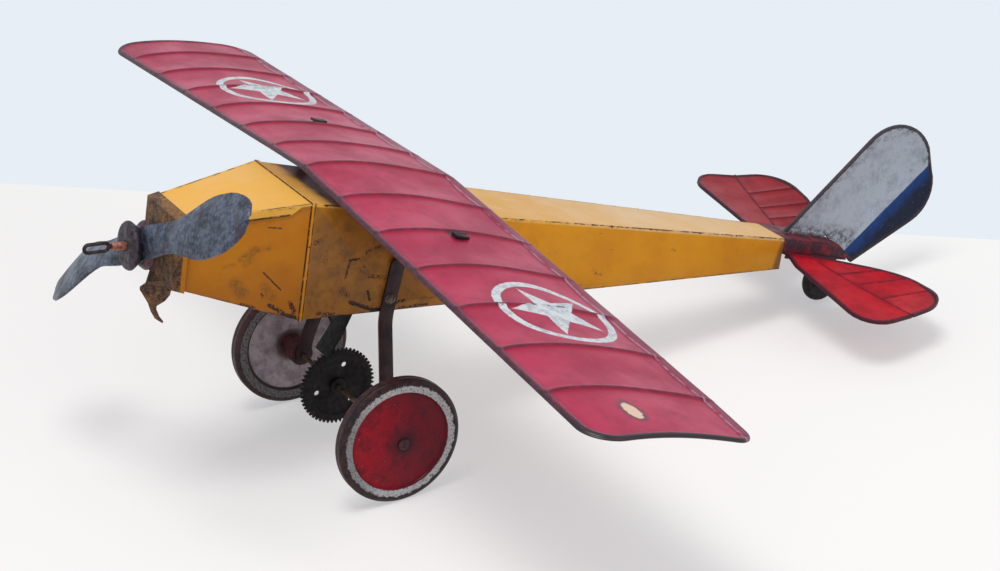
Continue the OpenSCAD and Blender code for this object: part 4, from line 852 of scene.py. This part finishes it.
def wing_surface():
    """Points of both faces and the values that the wing's paint reads."""
    stations, rows = wing_stations(), wing_rows()
    x, t = np.meshgrid(stations, rows, indexing="ij")
    end = np.where(x > 0, LAST_RIB_MM + TIP_PORT_MM, LAST_RIB_MM + TIP_STAR_MM)
    te_r = np.where(x > 0, TE_R_PORT_MM, TE_R_STAR_MM)
    rake = np.where(x > 0, RAKE_PORT_MM, RAKE_STAR_MM)
    front = corner_in(x, end, LE_R_MM)
    c = front + (CHORD_MM - corner_in(x, end, te_r) - front) * t
    s = c / CHORD_MM
    edge = from_outline(x, c, end, LE_R_MM, te_r)
    rib = np.abs(x - RIB_PITCH_MM * np.round(x / RIB_PITCH_MM))
    ribbed = np.abs(x) < LAST_RIB_MM + RIB_PITCH_MM / 2
    lift = RIB_H_MM * (1 + np.cos(np.pi * rib / RIB_W_MM)) / 2
    lift = np.where((rib < RIB_W_MM) & ribbed, lift, 0)
    sag = BAY_SAG_MM * (1 - np.cos(2 * np.pi * x / RIB_PITCH_MM)) / 2
    sag = np.where(np.abs(x) < LAST_RIB_MM, sag, 0)
    dents = DENT_MM * np.sin(x / 19.0 + 1.3 * np.sin(c / 23.0))
    dents *= np.sin(c / 17.0 + 0.8 * np.sin(x / 31.0))
    tilt = BODY_PITCH + WING_SET
    drop = wing_drop(x, s)
    shift = x * slope(WING_YAW + WING_SKEW * s)
    camber = np.sin(np.pi * np.clip(s, 0, 1) ** CREST_AT).clip(0) ** CREST_POWER
    camber = CAMBER_MM * camber
    h = camber + shift * np.sin(tilt) + drop * np.cos(tilt) + dents * np.minimum(1, edge / 8)
    h += (lift - sag) * np.minimum(1, 12 * s * (1 - s))
    along = c + shift * np.cos(tilt) - drop * np.sin(tilt)
    reach = np.where(c > CHORD_MM / 2, FOLD_W_MM, HEM_W_MM)
    reach = np.where((end - np.abs(x)) < (CHORD_MM - c), HEM_W_MM, reach)
    hem = (HEM_T_MM - WING_T_MM) / 2 * (1 - smoothstep(edge, reach - 0.5, reach + 0.5))
    thick = HEM_T_MM / 2
    nose = thick * (1 - np.sqrt(1 - (1 - np.clip(edge / thick, 0, 1)) ** 2))
    beyond = np.maximum(0, (np.abs(x) - LAST_RIB_MM) / (end - LAST_RIB_MM))
    x = x - np.sign(x) * rake * s * beyond
    faces, axes = [], np.array((PORT, AFT, UP)) * MM
    for side in (1, -1):
        level = h + (hem - nose if side > 0 else -WING_T_MM - hem + nose)
        a = WING_AFT_MM + along * math.cos(WING_SET) + level * math.sin(WING_SET)
        u = WING_UP_MM - along * math.sin(WING_SET) + level * math.cos(WING_SET)
        faces.append(np.array(SEAM) + np.stack((x, a, u), -1) @ axes)
    return faces, {"span": x, "chord": c, "edge": edge}


def wing_mesh():
    """The pressed sheet as one closed mesh with its paint's values on the points."""
    (top, low), values = wing_surface()
    n, m = top.shape[:2]
    count = n * m
    verts = np.concatenate([top.reshape(-1, 3), low.reshape(-1, 3)])
    quads = []
    for i in range(n - 1):
        for j in range(m - 1):
            p = i * m + j
            quads.append((p, p + m, p + m + 1, p + 1))
            q = p + count
            quads.append((q, q + 1, q + m + 1, q + m))
    rim = [(j, j + 1) for j in range(m - 1)]
    rim += [((n - 1) * m + j + 1, (n - 1) * m + j) for j in range(m - 1)]
    rim += [((i + 1) * m, i * m) for i in range(n - 1)]
    rim += [((i + 1) * m - 1, (i + 2) * m - 1) for i in range(n - 1)]
    quads += [(p, q, q + count, p + count) for p, q in rim]
    mesh = bpy.data.meshes.new("wing_sheet")
    mesh.from_pydata([tuple(v) for v in verts], [], quads)
    values = {name: np.tile(value.reshape(-1), 2) for name, value in values.items()}
    values["upper"] = np.repeat([1.0, 0.0], count)
    for name, value in values.items():
        layer = mesh.attributes.new(name, "FLOAT", "POINT")
        layer.data.foreach_set("value", value.astype(np.float32))
    mesh.polygons.foreach_set("use_smooth", [True] * len(mesh.polygons))
    mesh.update()
    return mesh


# Edges steeper than this stay sharp, and cut edges are rounded by kind of piece
SHARP_DEGREES = 32
WELD_MM = 0.01
SHEET_BEVEL_MM, SMALL_BEVEL_MM, BLADE_BEVEL_MM = 0.25, 0.12, 0.04


def smooth_group():
    """Geometry nodes that shade smooth across all edges gentler than a limit."""
    group = bpy.data.node_groups.new("smooth_by_angle", "GeometryNodeTree")
    group.interface.new_socket("Geometry", in_out="INPUT", socket_type="NodeSocketGeometry")
    group.interface.new_socket("Geometry", in_out="OUTPUT", socket_type="NodeSocketGeometry")
    new, link = group.nodes.new, group.links.new
    start, end = new("NodeGroupInput"), new("NodeGroupOutput")
    faces, edges = new("GeometryNodeSetShadeSmooth"), new("GeometryNodeSetShadeSmooth")
    angle, sharp = new("GeometryNodeInputMeshEdgeAngle"), new("FunctionNodeCompare")
    edges.domain = "EDGE"
    sharp.operation = "GREATER_THAN"
    sharp.inputs[1].default_value = math.radians(SHARP_DEGREES)
    faces.inputs["Shade Smooth"].default_value = True
    edges.inputs["Shade Smooth"].default_value = False
    link(start.outputs[0], faces.inputs["Geometry"])
    link(faces.outputs[0], edges.inputs["Geometry"])
    link(angle.outputs[0], sharp.inputs[0])
    link(sharp.outputs[0], edges.inputs["Selection"])
    link(edges.outputs[0], end.inputs[0])
    return group


# The propeller: a point of its axis, its radius, the reach of its tips and their evening
HUB_MM, PROP_R_MM = Vector((MIDDLE_X_MM, -254.477, 151.593)), 120.8
TIP_REACH_MM, TIP_EVENING, TIP_PASSES = 1.2, 0.5, 3


def round_tips(piece):
    """Evens out the last rows of the blades, where the crown ends in a point."""
    tips = piece.vertex_groups.new(name="tips")
    for vertex in piece.data.vertices:
        out = piece.matrix_world @ vertex.co - HUB_MM * MM
        out -= AFT * out.dot(AFT)
        if out.length > (PROP_R_MM - TIP_REACH_MM) * MM:
            tips.add([vertex.index], 1.0, "REPLACE")
    even = piece.modifiers.new("even", "SMOOTH")
    even.vertex_group = tips.name
    even.factor, even.iterations = TIP_EVENING, TIP_PASSES


def dress(node, material, bevel_mm):
    """Gives a CAD node its material, rounded edges and smooth shading."""
    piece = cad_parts[node]
    if not piece.material_slots:
        piece.data.materials.append(None)
    for entry in piece.material_slots:
        entry.material = material
    weld = piece.modifiers.new("weld", "WELD")
    weld.merge_threshold = WELD_MM * MM
    if node == "propeller":
        round_tips(piece)
    bevel = piece.modifiers.new("bevel", "BEVEL")
    bevel.width = bevel_mm * MM
    bevel.segments = 2
    bevel.limit_method = "ANGLE"
    bevel.angle_limit = math.radians(SHARP_DEGREES)
    piece.modifiers.new("smooth", "NODES").node_group = smooth_by_angle


def add_object(name, data):
    """New object, linked to the scene."""
    piece = bpy.data.objects.new(name, data)
    bpy.context.scene.collection.objects.link(piece)
    return piece


smooth_by_angle = smooth_group()
painted = {
    "body_shell": body_paint(),
    "cowl_sides": cowl_paint("cowl_side_paint", COWL_SIDE),
    # Painted light: the cowl's top panel gets the paler top colours
    "cowl_top": cowl_paint("cowl_top_lit_paint", COWL_TOP_LIT),
    "nose_plate": rusty_steel(),
    "strut_port": strut_paint(),
    "strut_screws": bare("screw_steel", (120, 110, 98), (60, 50, 44), 0.45, 0.6),
    "front_axle": bare("axle_steel", (104, 80, 60), (54, 40, 34), 0.5, 0.4),
    "clicker_tongue": bare("tongue_steel", (14, 11, 14), (8, 7, 9), 0.7, 0.0),
    "split_pin": bare("pin_steel", (58, 44, 44), (28, 22, 25), 0.5, 0.35),
    "clicker_wheel": bare("dark_steel", (34, 31, 33), (18, 16, 18), 0.5, 0.4),
    "wheel_port_outer": wheel_paint(),
    "wheel_port_inner": wheel_grey(),
    "hub_port": hub_paint(),
    "propeller": zinc(),
    "hub_cup_front": bare("cup_zinc", (66, 56, 66), (34, 28, 35), 0.5, 0.3),
    "hub_cup_rear": bare("cup_tarnish", (92, 58, 68), (46, 32, 40), 0.48, 0.4),
    "shaft_sleeve": bare("copper", (158, 104, 84), (92, 56, 46), 0.46, 0.45),
    "tailplane": tail_paint(),
    "fin": fin_paint(),
    "tail_channel": dark_red(),
    "tail_wheel": bare("tail_tyre", (40, 32, 34), (24, 20, 22), 0.6, 0.0),
}
like = {
    "strut_starboard": "strut_port",
    "clicker_collar": "clicker_wheel",
    "clicker_rivets": "clicker_tongue",
    "axle_caps": "hub_port",
    "wheel_starboard_outer": "wheel_port_outer",
    "wheel_starboard_inner": "wheel_port_inner",
    "hub_starboard": "hub_port",
    "tail_fork": "tail_channel",
    "tail_axle": "front_axle",
}
small = "clicker_rivets strut_screws axle_caps split_pin shaft_sleeve clicker_wheel".split()
bevels_mm = {"propeller": BLADE_BEVEL_MM, **dict.fromkeys(small, SMALL_BEVEL_MM)}
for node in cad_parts:
    if node != "wing":
        dress(node, painted[like.get(node, node)], bevels_mm.get(node, SHEET_BEVEL_MM))

wing = add_object("wing_sheet", wing_mesh())
wing.data.materials.append(wing_paint())
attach(wing, "airframe")
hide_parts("wing")

# The camera, solved from the photograph
LENS_MM, SENSOR_MM, CLIP_M = 82.442, 36.0, 50
FRAME_PX = (1000, 571)
CAMERA_AT = Vector((1.07604 + MIDDLE_X_MM * MM, -0.61289, 0.63575))
AZIMUTH, ELEVATION, ROLL = (math.radians(v) for v in (61.84, 24.84, -2.63))
flat = math.cos(ELEVATION)
back = Vector((math.sin(AZIMUTH) * flat, -math.cos(AZIMUTH) * flat, math.sin(ELEVATION)))
level = Vector((math.cos(AZIMUTH), math.sin(AZIMUTH), 0))
upright = back.cross(level)
right = level * math.cos(ROLL) + upright * math.sin(ROLL)
above = upright * math.cos(ROLL) - level * math.sin(ROLL)
camera = add_object("camera", bpy.data.cameras.new("camera"))
camera.data.lens = LENS_MM
camera.data.sensor_width = SENSOR_MM
camera.data.clip_end = CLIP_M
turn = Matrix((right, above, back)).transposed()
camera.matrix_world = Matrix.Translation(CAMERA_AT) @ turn.to_4x4()
bpy.context.scene.camera = camera


def on_floor(u, v):
    """Point of the floor seen at a pixel of the frame."""
    focal = LENS_MM / SENSOR_MM * FRAME_PX[0]
    ray = right * (u - FRAME_PX[0] / 2) - above * (v - FRAME_PX[1] / 2) - back * focal
    return CAMERA_AT - ray * (CAMERA_AT.z / ray.z)


def backdrop_rays(nodes, links):
    """Socket that is 1 for rays of the camera and of reflections, which see the pale backdrop."""
    path, seen = nodes.new("ShaderNodeLightPath"), nodes.new("ShaderNodeMath")
    seen.operation = "MAXIMUM"
    links.new(path.outputs["Is Camera Ray"], seen.inputs[0])
    links.new(path.outputs["Is Glossy Ray"], seen.inputs[1])
    return seen.outputs[0]


def floor_material():
    """Plain matt floor that camera and glossy rays see as a paler, more even one."""
    p = Paint("floor", roughness=0.9, specular=0.0)
    seen = backdrop_rays(p.tree.nodes, p.tree.links)
    p.put(p.shader.inputs["Base Color"], p.mix(seen, FLOOR_COLOUR, FLOOR_SEEN))
    p.put(p.shader.inputs["Emission Color"], PALE_GLOW)
    p.put(p.shader.inputs["Emission Strength"], p.mul(seen, FLOOR_GLOW))
    return p.material


# Where the floor meets the wall at the left and right edge of the frame, and the floor's reach
HORIZON_LEFT_PX, HORIZON_RIGHT_PX = 183, 240
FLOOR_NEAR_M, FLOOR_SIDE_M = 4.0, 5.0
FLOOR_COLOUR, FLOOR_SEEN = (236, 236, 236), (182, 179, 176)
PALE_GLOW, FLOOR_GLOW = (0.94, 0.965, 1.0, 1.0), 0.44
corner_left = on_floor(0, HORIZON_LEFT_PX)
corner_right = on_floor(FRAME_PX[0], HORIZON_RIGHT_PX)
run = (corner_right - corner_left).normalized()
toward = Vector((run.y, -run.x, 0))
if toward.dot(CAMERA_AT - corner_left) < 0:
    toward = -toward
middle = (corner_left + corner_right) / 2
far_left, far_right = middle - run * FLOOR_SIDE_M, middle + run * FLOOR_SIDE_M
near_right, near_left = far_right + toward * FLOOR_NEAR_M, far_left + toward * FLOOR_NEAR_M
floor_mesh = bpy.data.meshes.new("floor")
corners = [tuple(v) for v in (far_left, far_right, near_right, near_left)]
floor_mesh.from_pydata(corners, [], [(0, 1, 2, 3)])
floor_mesh.materials.append(floor_material())
floor = add_object("floor", floor_mesh)

# Light: a white room, seen as a pale wall past the floor's far edge, and two broad lamps
WORLD_LEVEL, WALL_SEEN = 0.52, (231, 238, 245)
LAMPS_AIM = Vector((0, 0, 0.1))
world = bpy.data.worlds.new("room")
bpy.context.scene.world = world
world.use_nodes = True
nodes, links = world.node_tree.nodes, world.node_tree.links
nodes["Background"].inputs["Color"].default_value = (1, 1, 1, 1)
nodes["Background"].inputs["Strength"].default_value = WORLD_LEVEL
wall = nodes.new("ShaderNodeBackground")
wall.inputs["Color"].default_value = linear(WALL_SEEN)
choice = nodes.new("ShaderNodeMixShader")
links.new(backdrop_rays(nodes, links), choice.inputs["Fac"])
links.new(nodes["Background"].outputs[0], choice.inputs[1])
links.new(wall.outputs[0], choice.inputs[2])
links.new(choice.outputs[0], nodes["World Output"].inputs["Surface"])


def lamp(name, place, watts, size):
    """Broad square lamp that looks at the middle of the toy."""
    data = bpy.data.lights.new(name, "AREA")
    data.energy, data.size = watts, size
    piece = add_object(name, data)
    piece.location = place
    aim = LAMPS_AIM - Vector(place)
    piece.rotation_euler = aim.to_track_quat("-Z", "Y").to_euler()


lamp("key", place=(0.45, -0.55, 2.4), watts=38, size=1.0)
lamp("fill", place=(1.8, 0.6, 1.0), watts=9, size=1.4)

bpy.context.scene.view_settings.view_transform = "Standard"
